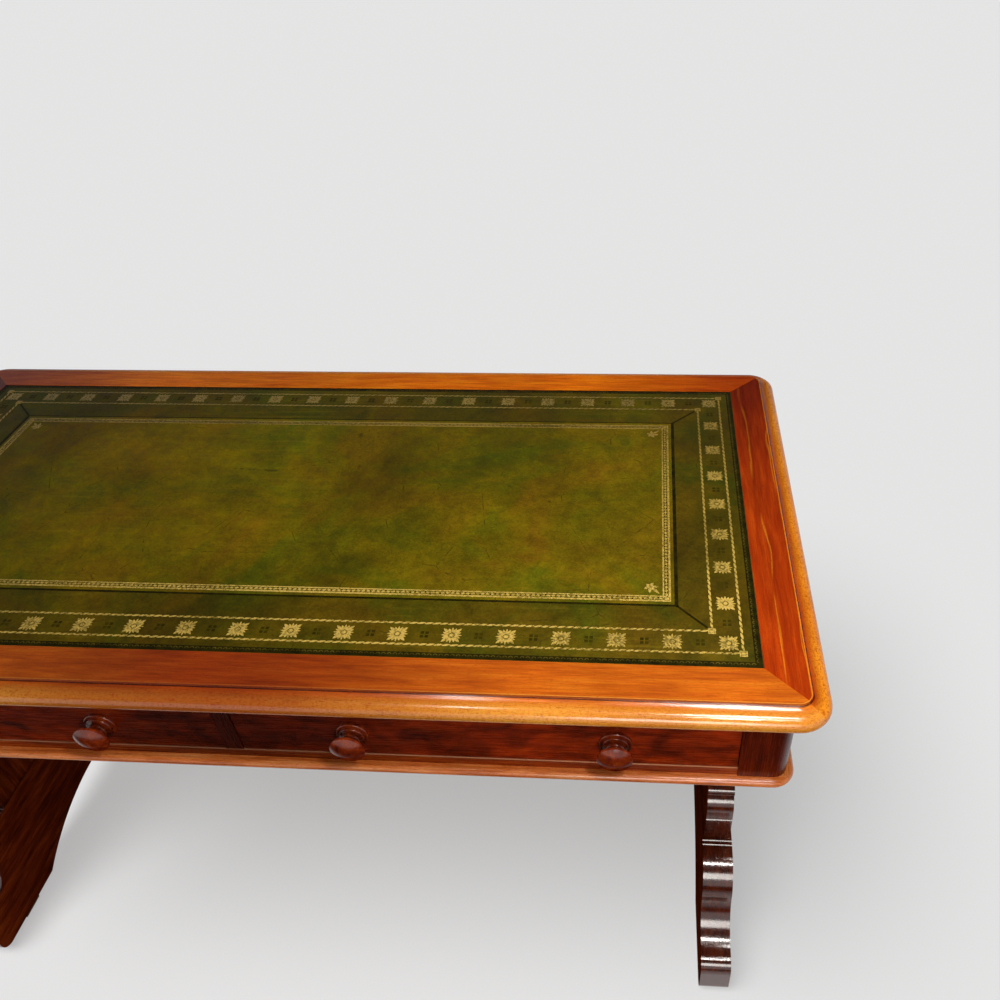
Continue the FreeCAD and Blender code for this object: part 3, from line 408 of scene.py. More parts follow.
        # Distance outside the flat of the top, whose corners are rounded to 17 mm.
        inner = (self.worn_from[0] - self.worn_round, self.worn_from[1] - self.worn_round, 1.0)
        flat = add_node(tree, "ShaderNodeVectorMath", {"operation": "ABSOLUTE"}, {0: place}).outputs["Vector"]
        out = add_node(
            tree, "ShaderNodeVectorMath", {"operation": "SUBTRACT", 1: inner}, {0: flat}
        ).outputs["Vector"]
        out = add_node(
            tree, "ShaderNodeVectorMath", {"operation": "MAXIMUM", 1: (0.0, 0.0, 0.0)}, {0: out}
        ).outputs["Vector"]
        away = add_node(tree, "ShaderNodeVectorMath", {"operation": "LENGTH"}, {0: out}).outputs["Value"]
        nearest = add_node(
            tree, "ShaderNodeMath", {"operation": "SUBTRACT", 1: self.worn_round}, {0: away}
        ).outputs[0]
        faded = add_node(
            tree,
            "ShaderNodeMapRange",
            {"From Min": 0.002, "From Max": 0.013, "To Max": 0.9},
            {"Value": nearest},
        ).outputs["Result"]
        patch = add_node(
            tree,
            "ShaderNodeMapRange",
            {"From Min": 0.25, "From Max": 0.6, "To Min": 0.5, "To Max": 1.0},
            {"Value": drift},
        ).outputs["Result"]
        fleck = add_node(
            tree,
            "ShaderNodeTexNoise",
            {"Scale": 1 / 0.003, "Detail": 2.0, "Roughness": 0.7},
            {"Vector": place},
        ).outputs["Fac"]
        fleck = add_node(
            tree,
            "ShaderNodeMapRange",
            {"From Min": 0.48, "From Max": 0.68, "To Min": 1.0, "To Max": 0.35},
            {"Value": fleck},
        ).outputs["Result"]
        amount = add_node(tree, "ShaderNodeMath", {"operation": "MULTIPLY"}, {0: faded, 1: patch}).outputs[0]
        amount = add_node(tree, "ShaderNodeMath", {"operation": "MULTIPLY"}, {0: amount, 1: fleck}).outputs[0]
        colour = add_node(
            tree, "ShaderNodeMix", {"data_type": "RGBA", 7: self.worn}, {0: amount, 6: colour}
        ).outputs[2]

        # Painted shade darkens the quirk, 1.6 mm wide, and a painted highlight lies pale on the arris above
        # it.
        for middle, half, strength, tone in (
            (0.0009, 0.0011, 0.85, "#2a0e04"),
            (-0.0010, 0.0009, 0.55, self.worn),
        ):
            off = add_node(
                tree, "ShaderNodeMath", {"operation": "SUBTRACT", 1: middle}, {0: nearest}
            ).outputs[0]
            off = add_node(tree, "ShaderNodeMath", {"operation": "ABSOLUTE"}, {0: off}).outputs[0]
            line = add_node(
                tree,
                "ShaderNodeMapRange",
                {"From Min": half * 0.5, "From Max": half, "To Min": strength, "To Max": 0.0},
                {"Value": off},
            ).outputs["Result"]
            colour = add_node(
                tree, "ShaderNodeMix", {"data_type": "RGBA", 7: tone}, {0: line, 6: colour}
            ).outputs[2]
        return colour


@dataclass(frozen=True)
class PlainTimber:
    """Bare oak or pine inside the table: open straight grain, no polish, dry and matt."""

    name: str
    dark: str
    light: str
    grain: Grain = Grain.DEEP

    def make(self) -> bpy.types.Material:
        """Build the finish.

        Returns:
            The material.
        """
        material, tree = new_material(self.name)
        place = add_node(tree, "ShaderNodeTexCoord").outputs["Object"]
        turned = add_node(
            tree, "ShaderNodeMapping", {"Rotation": self.grain.value}, {"Vector": place}
        ).outputs["Vector"]

        # Grain lines 5 mm apart and 250 mm long.
        along = add_node(
            tree, "ShaderNodeMapping", {"Scale": (4.0, 1 / 0.005, 1 / 0.005)}, {"Vector": turned}
        ).outputs["Vector"]
        bands = add_node(
            tree, "ShaderNodeTexNoise", {"Scale": 1.0, "Detail": 5.0, "Roughness": 0.6}, {"Vector": along}
        ).outputs["Fac"]
        colour = add_node(
            tree, "ShaderNodeValToRGB", {"stops": [(0.32, self.dark), (0.68, self.light)]}, {"Fac": bands}
        ).outputs["Color"]
        bump = add_node(
            tree, "ShaderNodeBump", {"Strength": 0.25, "Distance": 0.0005}, {"Height": bands}
        ).outputs["Normal"]
        surface = add_node(
            tree,
            "ShaderNodeBsdfPrincipled",
            {"Roughness": 0.68, "Specular IOR Level": 0.3},
            {"Base Color": colour, "Normal": bump},
        ).outputs["BSDF"]
        add_node(tree, "ShaderNodeOutputMaterial", None, {"Surface": surface})
        return material


@dataclass(frozen=True)
class Hide:
    """Aniline dyed cowhide, waxed: olive green, clouded with brown where the dye has rubbed."""

    name: str
    green: str
    olive: str
    brown: str
    deep: str
    roughness: float = 0.5

    def make(self) -> bpy.types.Material:
        """Build the finish.

        Returns:
            The material.
        """
        material, tree = new_material(self.name)
        place = add_node(tree, "ShaderNodeTexCoord").outputs["Object"]

        # Clouds of dye 180 mm wide under a rub of 290 mm, stains of 70 mm, mottle of 17 mm and
        # grain of 2.6 mm, which is coarser than life so that it shows.
        layers = {}
        for layer, scale, detail, twist in (
            ("dye", 5.5, 6.0, 0.9),
            ("rub", 3.4, 8.0, 0.5),
            ("stain", 15.0, 6.0, 0.7),
            ("mottle", 60.0, 5.0, 0.0),
            ("grain", 1 / 0.0026, 2.0, 0.0),
        ):
            turned = add_node(
                tree,
                "ShaderNodeMapping",
                {"Location": (scale, 0.3, 0.0), "Rotation": (0.0, 0.0, 0.5)},
                {"Vector": place},
            ).outputs["Vector"]
            layers[layer] = add_node(
                tree,
                "ShaderNodeTexNoise",
                {"Scale": scale, "Detail": detail, "Roughness": 0.66, "Distortion": twist},
                {"Vector": turned},
            ).outputs["Fac"]
        clouds, rubbed = layers["dye"], layers["mottle"]
        colour = add_node(
            tree,
            "ShaderNodeValToRGB",
            {"stops": [(0.34, self.green), (0.50, self.olive), (0.66, self.brown)]},
            {"Fac": clouds},
        ).outputs["Color"]
        for layer, low, high in (
            ("rub", 0.58, 1.40),
            ("stain", 0.74, 1.24),
            ("mottle", 0.78, 1.22),
            ("grain", 0.78, 1.22),
        ):
            shade = add_node(
                tree,
                "ShaderNodeMapRange",
                {"From Min": 0.3, "From Max": 0.7, "To Min": low, "To Max": high},
                {"Value": layers[layer]},
            ).outputs["Result"]
            colour = add_node(
                tree, "ShaderNodeVectorMath", {"operation": "SCALE"}, {0: colour, "Scale": shade}
            ).outputs["Vector"]

        # Fine cracks that fade out 1 mm from their line, only where the hide is driest.
        crack = add_node(
            tree, "ShaderNodeTexVoronoi", {"feature": "DISTANCE_TO_EDGE", "Scale": 11.0}, {"Vector": place}
        ).outputs["Distance"]
        line = add_node(
            tree,
            "ShaderNodeMapRange",
            {"From Min": 0.0, "From Max": 0.012, "To Min": 0.75, "To Max": 0.0},
            {"Value": crack},
        ).outputs["Result"]
        dry = add_node(
            tree, "ShaderNodeMapRange", {"From Min": 0.53, "From Max": 0.60}, {"Value": rubbed}
        ).outputs["Result"]
        cracked = add_node(tree, "ShaderNodeMath", {"operation": "MULTIPLY"}, {0: line, 1: dry}).outputs[0]
        colour = add_node(
            tree, "ShaderNodeMix", {"data_type": "RGBA", 7: self.deep}, {0: cracked, 6: colour}
        ).outputs[2]

        # Long pale scuffs 2 mm wide, slantwise, in some places only.
        slant = add_node(
            tree,
            "ShaderNodeMapping",
            {"Rotation": (0.0, 0.0, 1.15), "Scale": (7.0, 1 / 0.006, 1.0)},
            {"Vector": place},
        ).outputs["Vector"]
        scuff = add_node(
            tree, "ShaderNodeTexNoise", {"Scale": 1.0, "Detail": 4.0, "Roughness": 0.7}, {"Vector": slant}
        ).outputs["Fac"]
        scuff = add_node(
            tree, "ShaderNodeMapRange", {"From Min": 0.52, "From Max": 0.78, "To Max": 0.5}, {"Value": scuff}
        ).outputs["Result"]
        touched = add_node(
            tree, "ShaderNodeMapRange", {"From Min": 0.46, "From Max": 0.62}, {"Value": layers["rub"]}
        ).outputs["Result"]
        scuffs = add_node(
            tree, "ShaderNodeMath", {"operation": "MULTIPLY"}, {0: scuff, 1: touched}
        ).outputs[0]
        colour = add_node(
            tree, "ShaderNodeMix", {"data_type": "RGBA", 7: "#94811c"}, {0: scuffs, 6: colour}
        ).outputs[2]

        # Pale rubbed specks about 2 mm across, a few to a hand.
        spots = add_node(
            tree,
            "ShaderNodeTexVoronoi",
            {"feature": "F1", "Scale": 38.0, "Randomness": 1.0},
            {"Vector": place},
        ).outputs["Distance"]
        speck = add_node(
            tree,
            "ShaderNodeMapRange",
            {"From Min": 0.03, "From Max": 0.06, "To Min": 0.5, "To Max": 0.0},
            {"Value": spots},
        ).outputs["Result"]
        sparse = add_node(
            tree, "ShaderNodeMapRange", {"From Min": 0.56, "From Max": 0.6}, {"Value": clouds}
        ).outputs["Result"]
        specks = add_node(tree, "ShaderNodeMath", {"operation": "MULTIPLY"}, {0: speck, 1: sparse}).outputs[0]
        colour = add_node(
            tree, "ShaderNodeMix", {"data_type": "RGBA", 7: "#8a7a3a"}, {0: specks, 6: colour}
        ).outputs[2]

        # Pebble of the grain: 1.4 mm, a little coarser than life.
        pebble = add_node(
            tree, "ShaderNodeTexVoronoi", {"feature": "SMOOTH_F1", "Scale": 1 / 0.0014}, {"Vector": place}
        ).outputs["Distance"]
        bump = add_node(
            tree, "ShaderNodeBump", {"Strength": 0.18, "Distance": 0.0003}, {"Height": pebble}
        ).outputs["Normal"]
        gloss = add_node(
            tree,
            "ShaderNodeMapRange",
            {
                "From Min": 0.25,
                "From Max": 0.75,
                "To Min": self.roughness - 0.06,
                "To Max": self.roughness + 0.1,
            },
            {"Value": rubbed},
        ).outputs["Result"]
        surface = add_node(
            tree,
            "ShaderNodeBsdfPrincipled",
            {"IOR": 1.48, "Specular IOR Level": 0.1},
            {"Base Color": colour, "Roughness": gloss, "Normal": bump},
        ).outputs["BSDF"]
        add_node(tree, "ShaderNodeOutputMaterial", None, {"Surface": surface})
        return material


@dataclass(frozen=True)
class GoldLeaf:
    """Gold leaf pressed into leather: warm and bright, rubbed through to the hide in places."""

    name: str
    gold: str
    dull: str
    hide: str
    loss: float = 0.39

    def make(self) -> bpy.types.Material:
        """Build the finish.

        Returns:
            The material.
        """
        material, tree = new_material(self.name)
        place = add_node(tree, "ShaderNodeTexCoord").outputs["Object"]

        # The leaf is lost in specks 3 mm apart, more in some areas 110 mm wide, and painted shade dulls it
        # towards the back.
        rub = add_node(
            tree,
            "ShaderNodeTexNoise",
            {"Scale": 1 / 0.003, "Detail": 3.0, "Roughness": 0.7},
            {"Vector": place},
        ).outputs["Fac"]
        area = add_node(
            tree, "ShaderNodeTexNoise", {"Scale": 9.0, "Detail": 2.0, "Roughness": 0.5}, {"Vector": place}
        ).outputs["Fac"]
        both = add_node(
            tree, "ShaderNodeMath", {"operation": "MULTIPLY_ADD", 1: 0.55}, {0: area, 2: rub}
        ).outputs[0]
        kept = add_node(
            tree,
            "ShaderNodeMapRange",
            {"From Min": self.loss + 0.22, "From Max": self.loss + 0.46, "To Min": 0.12, "To Max": 1.0},
            {"Value": both},
        ).outputs["Result"]
        # Painted shade: gold at the front, dull at the back.
        depth = add_node(tree, "ShaderNodeSeparateXYZ", None, {"Vector": place}).outputs["Y"]
        faded = add_node(
            tree, "ShaderNodeMapRange", {"From Min": -0.16, "From Max": 0.24}, {"Value": depth}
        ).outputs["Result"]
        leaf = add_node(
            tree, "ShaderNodeMix", {"data_type": "RGBA", 6: self.gold, 7: self.dull}, {0: faded}
        ).outputs[2]
        colour = add_node(
            tree, "ShaderNodeMix", {"data_type": "RGBA", 6: self.hide}, {0: kept, 7: leaf}
        ).outputs[2]
        metal = add_node(
            tree, "ShaderNodeMath", {"operation": "MULTIPLY", 1: 0.35}, {0: kept}
        ).outputs[0]
        surface = add_node(
            tree,
            "ShaderNodeBsdfPrincipled",
            {"Roughness": 0.42, "Specular IOR Level": 0.4},
            {"Base Color": colour, "Metallic": metal},
        ).outputs["BSDF"]
        add_node(tree, "ShaderNodeOutputMaterial", None, {"Surface": surface})
        return material


@dataclass(frozen=True)
class BlindStamp:
    """Leather pressed by a hot tool: darker than the hide round it, closed and slightly shiny."""

    name: str
    scorched: str
    hide: str

    def make(self) -> bpy.types.Material:
        """Build the finish.

        Returns:
            The material.
        """
        material, tree = new_material(self.name)
        place = add_node(tree, "ShaderNodeTexCoord").outputs["Object"]

        # The tool bit unevenly, in patches 12 mm wide.
        press = add_node(
            tree,
            "ShaderNodeTexNoise",
            {"Scale": 1 / 0.012, "Detail": 4.0, "Roughness": 0.6},
            {"Vector": place},
        ).outputs["Fac"]
        colour = add_node(
            tree, "ShaderNodeValToRGB", {"stops": [(0.38, self.scorched), (0.72, self.hide)]}, {"Fac": press}
        ).outputs["Color"]
        surface = add_node(
            tree,
            "ShaderNodeBsdfPrincipled",
            {"Roughness": 0.5, "Specular IOR Level": 0.04},
            {"Base Color": colour},
        ).outputs["BSDF"]
        add_node(tree, "ShaderNodeOutputMaterial", None, {"Surface": surface})
        return material


@dataclass(frozen=True)
class ScrewSteel:
    """Hand cut steel screws: grey brown metal with a thin skin of rust."""

    name: str = "aged_steel"

    def make(self) -> bpy.types.Material:
        """Build the finish.

        Returns:
            The material.
        """
        material, tree = new_material(self.name)
        place = add_node(tree, "ShaderNodeTexCoord").outputs["Object"]

        # Rust in specks of 3 mm.
        rust = add_node(
            tree, "ShaderNodeTexNoise", {"Scale": 1 / 0.003, "Detail": 4.0}, {"Vector": place}
        ).outputs["Fac"]
        colour = add_node(
            tree, "ShaderNodeValToRGB", {"stops": [(0.4, "#6b6660"), (0.7, "#4a3426")]}, {"Fac": rust}
        ).outputs["Color"]
        surface = add_node(
            tree, "ShaderNodeBsdfPrincipled", {"Metallic": 0.9, "Roughness": 0.5}, {"Base Color": colour}
        ).outputs["BSDF"]
        add_node(tree, "ShaderNodeOutputMaterial", None, {"Surface": surface})
        return material


@dataclass(frozen=True)
class StudioPaper:
    """Matt paper sweep: pale grey, even, keeps the soft shadow."""

    name: str = "studio_paper"
    pale: str = "#e3e3e3"
    evenness: float = 0.56

    def make(self) -> bpy.types.Material:
        """Build the finish.

        Returns:
            The material.
        """
        material, tree = new_material(self.name)
        rays = add_node(tree, "ShaderNodeLightPath").outputs
        seen = add_node(
            tree,
            "ShaderNodeMath",
            {"operation": "MAXIMUM"},
            {0: rays["Is Camera Ray"], 1: rays["Is Glossy Ray"]},
        ).outputs[0]
        seen = add_node(
            tree, "ShaderNodeMath", {"operation": "MAXIMUM"}, {0: seen, 1: rays["Is Transmission Ray"]}
        ).outputs[0]
        amount = add_node(
            tree, "ShaderNodeMath", {"operation": "MULTIPLY", 1: self.evenness}, {0: seen}
        ).outputs[0]
        matt = add_node(tree, "ShaderNodeBsdfDiffuse", {"Color": self.pale}).outputs["BSDF"]
        even = add_node(tree, "ShaderNodeEmission", {"Color": self.pale, "Strength": 1.0}).outputs["Emission"]
        surface = add_node(tree, "ShaderNodeMixShader", None, {0: amount, 1: matt, 2: even}).outputs["Shader"]
        add_node(tree, "ShaderNodeOutputMaterial", None, {"Surface": surface})
        return material


@dataclass(frozen=True)
class BlackCard:
    """Matt black card with thinned edges: gives the polish a deep tone and leaves no rim on the paper."""

    middle: tuple[float, float]
    half: tuple[float, float]
    fade: tuple[float, float]
    name: str = "black_card"
    tone: str = "#141210"

    def make(self) -> bpy.types.Material:
        """Build the finish.

        Returns:
            The material.
        """
        material, tree = new_material(self.name)
        matt = add_node(tree, "ShaderNodeBsdfDiffuse", {"Color": self.tone}).outputs["BSDF"]
        clear = add_node(tree, "ShaderNodeBsdfTransparent").outputs["BSDF"]
        place = add_node(tree, "ShaderNodeTexCoord").outputs["Object"]
        middle = (*self.middle, 0.0)
        off = add_node(
            tree, "ShaderNodeVectorMath", {"operation": "SUBTRACT", 1: middle}, {0: place}
        ).outputs["Vector"]
        off = add_node(tree, "ShaderNodeVectorMath", {"operation": "ABSOLUTE"}, {0: off}).outputs["Vector"]
        sides = add_node(tree, "ShaderNodeSeparateXYZ", None, {"Vector": off}).outputs
        thick = {}
        for axis, edge, fade in zip("XY", self.half, self.fade):
            thick[axis] = add_node(
                tree,
                "ShaderNodeMapRange",
                {"interpolation_type": "SMOOTHSTEP", "From Min": edge, "From Max": edge - fade},
                {"Value": sides[axis]},
            ).outputs["Result"]
        amount = add_node(
            tree, "ShaderNodeMath", {"operation": "MULTIPLY"}, {0: thick["X"], 1: thick["Y"]}
        ).outputs[0]
        surface = add_node(
            tree, "ShaderNodeMixShader", None, {0: amount, 1: clear, 2: matt}
        ).outputs["Shader"]
        add_node(tree, "ShaderNodeOutputMaterial", None, {"Surface": surface})
        return material


def flame_veneer(name: str) -> Mahogany:
    """Veneer of the drawer fronts and of the dummies at the back, named for its piece, with painted shade
    towards the table's middle.
    """
    return Mahogany(
        name, "#5c1802", "#782003", "#8c2e05", figure=Figure.FLAME, sheen=0.3, painted_shade=PaintedShade("#9da0bc")
    )


def turned_knob(name: str) -> Mahogany:
    """Polish of the turned knobs, which the rubber doesn't reach from below."""
    return Mahogany(
        name, "#3c0d04", "#6c2108", "#8c370d", grain=Grain.DEEP, roughness=0.13, sheen=0.6, dull=Dull.BELOW
    )


class Bench:
    """Hand tools: each works on one selected mesh."""

    @staticmethod
    def clear() -> None:
        """Put everything down."""
        if bpy.context.object and bpy.context.object.mode != "OBJECT":
            bpy.ops.object.mode_set(mode="OBJECT")
        bpy.ops.object.select_all(action="DESELECT")

    @staticmethod
    def take(piece: bpy.types.Object) -> bpy.types.Object:
        """Select one piece alone.

        Args:
            piece: the piece.

        Returns:
            The same piece.
        """
        Bench.clear()
        piece.select_set(True)
        bpy.context.view_layer.objects.active = piece
        return piece

    @staticmethod
    def disc(name: str, points: int, radius: float) -> bpy.types.Object:
        """Flat disc to be cut to shape.

        Args:
            name: the piece's name.
            points: points on its rim.
            radius: its radius in metres.

        Returns:
            The new piece.
        """
        Bench.clear()
        bpy.ops.mesh.primitive_circle_add(vertices=points, radius=radius, fill_type="NGON")
        bpy.context.object.name = name
        return bpy.context.object

    @staticmethod
    def sheet(name: str, width: float, depth: float) -> bpy.types.Object:
        """Flat rectangle to be cut to shape.

        Args:
            name: the piece's name.
            width: size along X in metres.
            depth: size along Y in metres.

        Returns:
            The new piece.
        """
        Bench.clear()
        bpy.ops.mesh.primitive_plane_add(size=1.0)
        piece = bpy.context.object
        piece.name = name
        piece.scale = (width, depth, 1.0)
        bpy.ops.object.transform_apply(location=False, rotation=False, scale=True)
        return piece

    @staticmethod
    def pull(piece: bpy.types.Object, every: int, share: Sequence[int], times: float) -> None:
        """Move some rim points in or out from the middle.

        Args:
            piece: a disc.
            every: length of the repeat round the rim.
            share: which points of the repeat move.
            times: factor on their distance from the middle.
        """
        Bench.take(piece)
        for vertex in piece.data.vertices:
            vertex.select = vertex.index % every in share
        for edge in piece.data.edges:
            edge.select = False
        for face in piece.data.polygons:
            face.select = False
        bpy.ops.object.mode_set(mode="EDIT")
        bpy.ops.mesh.select_mode(type="VERT")
        bpy.ops.transform.resize(value=(times, times, 1.0), center_override=(0.0, 0.0, 0.0))
        bpy.ops.object.mode_set(mode="OBJECT")

    @staticmethod
    def thicken(piece: bpy.types.Object, height: float) -> None:
        """Raise a flat cut piece to a thin closed plate.

        Args:
            piece: the flat piece.
            height: its thickness in metres.
        """
        Bench.take(piece)
        bpy.ops.object.mode_set(mode="EDIT")
        bpy.ops.mesh.select_all(action="SELECT")
        bpy.ops.mesh.extrude_region_move(TRANSFORM_OT_translate={"value": (0.0, 0.0, height)})
        bpy.ops.mesh.select_all(action="SELECT")
        bpy.ops.mesh.normals_make_consistent(inside=False)
        bpy.ops.object.mode_set(mode="OBJECT")

    @staticmethod
    def copy(piece: bpy.types.Object, name: str) -> bpy.types.Object:
        """Copy a piece with a mesh of its own.

        Args:
            piece: the pattern.
            name: the copy's name.

        Returns:
            The copy.
        """
        twin = piece.copy()
        twin.data = piece.data.copy()
        twin.name = name
        bpy.context.scene.collection.objects.link(twin)
        return twin

    @staticmethod
    def repeat(piece: bpy.types.Object, count: int, step: float) -> None:
        """Repeat a piece in a row along X.

        Args:
            piece: the piece.
            count: how many there are in the row.
            step: distance from one to the next in metres.
        """
        Bench.take(piece)
        row = piece.modifiers.new("row", "ARRAY")
        row.count = count
        row.use_relative_offset = False
        row.use_constant_offset = True
        row.constant_offset_displace = (step, 0.0, 0.0)
        bpy.ops.object.modifier_apply(modifier="row")

    @staticmethod
    def settle(piece: bpy.types.Object, x: float, y: float, z: float, turn: float = 0.0) -> None:
        """Turn a piece about the upright and set it in its place, with the place in its mesh.

        Args:
            piece: the piece.
            x: place along X in metres.
            y: place along Y in metres.
            z: place along Z in metres.
            turn: turn about the upright in radians.
        """
        Bench.take(piece)
        piece.location = (x, y, z)
        piece.rotation_euler = (0.0, 0.0, turn)
        bpy.ops.object.transform_apply(location=True, rotation=True, scale=True)

    @staticmethod
    def hollow(piece: bpy.types.Object, rim: float) -> None:
        """Cut the middle out of a flat piece.

        Args:
            piece: the flat piece.
            rim: width of what stays, in metres.
        """
        Bench.take(piece)
        bpy.ops.object.mode_set(mode="EDIT")
        bpy.ops.mesh.select_mode(type="FACE")
        bpy.ops.mesh.select_all(action="SELECT")
        bpy.ops.mesh.inset(thickness=rim)
        bpy.ops.mesh.delete(type="FACE")
        bpy.ops.object.mode_set(mode="OBJECT")

    @staticmethod
    def join(pieces: Sequence[bpy.types.Object], name: str) -> bpy.types.Object:
        """Make several pieces one object.

        Args:
            pieces: the pieces.
            name: the object's name.

        Returns:
            The object.
        """
        Bench.clear()
        for piece in pieces:
            piece.select_set(True)
        bpy.context.view_layer.objects.active = pieces[0]
        bpy.ops.object.join()
        pieces[0].name = name
        return pieces[0]


@dataclass
class Assembly:
    """Pieces that come from the CAD model and get their finish here."""

    body: str = "table"

    def coat(self, nodes: Sequence[str], material: bpy.types.Material) -> None:
        """Give CAD nodes a finish.

        Args:
            nodes: names of the nodes.
            material: their finish.
        """
        for name in nodes:
            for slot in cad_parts[name].material_slots:
                slot.material = material
            log.info("%s: %s", name, material.name)

    def mount(self, piece: bpy.types.Object, material: bpy.types.Material, slot: str) -> None:
        """Finish a new piece and fix it to its body.

        Args:
            piece: the new piece.
            material: its finish.
            slot: not used.
        """
        piece.data.materials.clear()
        piece.data.materials.append(material)
        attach(piece, self.body)
        log.info("%s: %s", piece.name, material.name)


@dataclass
class TopFrame(Assembly):
    """Mitred frame of the top, with its moulded edge."""

    def dress(self) -> None:
        """Give the long members an orange tone and the short ones a dark red one."""
        # Painted shade darkens the front towards the table's middle, the back towards its ends and the end
        # members towards the back.
        front_wood = Mahogany(
            "french_polished_mahogany_front",
            "#a4460a",
            "#c8600c",
            "#da7616",
            worn="#e29c38",
            roughness=0.13,
            sheen=0.7,
            painted_shade=PaintedShade("#bc9595"),
        ).make()
        back_wood = Mahogany(
            "french_polished_mahogany_back",
            "#c85606",
            "#ee7808",
            "#ff9414",
            worn="#e29c38",
            roughness=0.16,
            sheen=0.12,
            painted_shade=PaintedShade("#c09088", "X", 0.66, 0.34),
        ).make()
        end_wood = Mahogany(
            "french_polished_mahogany_ends",
            "#8a2705",
            "#a23406",
            "#b8460b",
            grain=Grain.DEEP,
            figure=Figure.CATHEDRAL,
            worn="#f09a24",
            roughness=0.13,
            sheen=0.15,
            painted_shade=PaintedShade("#b09090", "Y", 0.36, 0.02, over_edge=False),
        ).make()
        self.coat(["top_frame_front"], front_wood)
        self.coat(["top_frame_back"], back_wood)
        self.coat(["top_frame_left", "top_frame_right"], end_wood)
        self.coat(["top_core_board"], PlainTimber("pine_core", "#8a6a3c", "#a98752", Grain.ACROSS).make())


@dataclass
class LeatherTop(Assembly):
    """Green leather in five pieces with gilt and blind tooling."""

    half_x: float = 626 * MM
    half_y: float = 300 * MM
    face: float = 739.6 * MM
    relief: float = 0.16 * MM
    fringe: float = 5.0 * MM
    fringe_step: float = 6.8 * MM
    fringe_margin: float = 6.0 * MM
    fringe_width: float = 8.4 * MM
    lunette: float = 2.7 * MM
    lunette_rim: float = 1.0 * MM
    outer_line: float = 21.5 * MM
    rosette_line: float = 37.5 * MM
    rosette_size: float = 11.8 * MM
    rosettes_long: int = 19
    rosettes_short: int = 9
    petals: int = 16
    petal_reaches: tuple[float, ...] = (1.08, 1.02, 1.30, 1.02)
    petal_widths: tuple[float, ...] = (2.6 * MM, 3.5 * MM, 4.6 * MM, 3.5 * MM)
    heart: float = 3.4 * MM
    square_size: float = 11.7 * MM
    square_rim: float = 0.8 * MM
    inner_line: float = 56.0 * MM
    rope_step: float = 9.4 * MM
    rope_margin: float = 9.0 * MM
    strand: tuple[float, float] = (11.4 * MM, 3.1 * MM)
    strand_lean: float = math.radians(12.0)
    rope_corner: float = 4.6 * MM
    seam_line: float = 97.0 * MM
    mitre_width: float = 3.0 * MM
    mitre_gap: float = 5.0 * MM
    band_line: float = 108.5 * MM
    band_step: float = 12.6 * MM
    band_margin: float = 11.0 * MM
    band_leaf: tuple[float, float] = (12.5 * MM, 3.0 * MM)
    band_lean: float = math.radians(21.0)
    band_corner: float = 5.0 * MM
    corner_rim: float = 1.7 * MM
    sprig_line: float = 127.0 * MM
    sprig_width: float = 4.4 * MM
    gilt: bpy.types.Material = field(init=False)
    back_gilt: bpy.types.Material = field(init=False)
    scorch: bpy.types.Material = field(init=False)
    pressed: bpy.types.Material = field(init=False)

    def dress(self) -> None:
        """Dye the hides and tool them."""
        centre = Hide("aniline_cowhide_centre", "#525604", "#695a03", "#705406", "#2c2603").make()
        strips = Hide("aniline_cowhide_strips", "#3d4103", "#504403", "#594404", "#2a2403").make()
        self.coat(["leather_centre"], centre)
        self.coat([f"leather_border_{side.name.lower()}" for side in Side], strips)
        self.gilt = GoldLeaf("gold_leaf", "#efcb64", "#b1913a", "#5c4e0c").make()
        # Darker gilt, with more of the leaf lost, for the rows at the back.
        self.back_gilt = GoldLeaf("back_gold_leaf", "#d0b060", "#b09444", "#4a400a", loss=0.42).make()
        self.scorch = BlindStamp("scorched_hide", "#191603", "#2f2905").make()
        self.pressed = BlindStamp("blind_stamped_hide", "#2c2704", "#453c06").make()
        self.tool_rosettes()
        self.tool_ropes()
        self.tool_band()
        self.tool_corners()
        self.tool_fringe()
        self.close_seams()

    def runs(self, inset: float) -> list[tuple[Side, float]]:
        """Sides of a rectangle drawn at one distance from the leather's edge.

        Args:
            inset: that distance in metres.

        Returns:
            Each side with its length.
        """
        long = 2 * (self.half_x - inset)
        short = 2 * (self.half_y - inset)
        return [(side, long if side.value[0] == 0 else short) for side in Side]

    def spot(self, inset: float, x: int, y: int) -> tuple[float, float, float]:
        """Find a point of the leather's face.

        Args:
            inset: its distance from the leather's edges in metres.
            x: -1 for the left, 1 for the right, 0 for the middle.
            y: -1 for the front, 1 for the back, 0 for the middle.

        Returns:
            The point in metres.
        """
        return (self.half_x - inset) * x, (self.half_y - inset) * y, self.face

    def lay(self, piece: bpy.types.Object, side: Side, inset: float, length: float) -> None:
        """Lay a row that was made along X on one side of the top.

        Args:
            piece: the row, starting at the origin.
            side: side of the top.
            inset: distance from the leather's edge in metres.
            length: length of the row in metres.
        """
        x, y, z = self.spot(inset, *side.value)
        turn = {Side.FRONT: 0.0, Side.RIGHT: math.pi / 2, Side.BACK: math.pi, Side.LEFT: -math.pi / 2}[side]
        Bench.settle(piece, x - math.cos(turn) * length / 2, y - math.sin(turn) * length / 2, z, turn)

    def line(
        self, name: str, side: Side, inset: float, size: Sequence[float], finish: bpy.types.Material
    ) -> None:
        """Press one straight line along a side of the top.

        Args:
            name: the lines' name.
            side: side of the top.
            inset: distance from the leather's edge in metres.
            size: its length, width and height in metres.
            finish: its finish.
        """
        piece = Bench.sheet(f"{name}_{side.name.lower()}", size[0], size[1])
        Bench.thicken(piece, size[2])
        Bench.settle(piece, *self.spot(inset, *side.value), 0.0 if side.value[0] == 0 else math.pi / 2)
        self.mount(piece, finish, "leather_green")

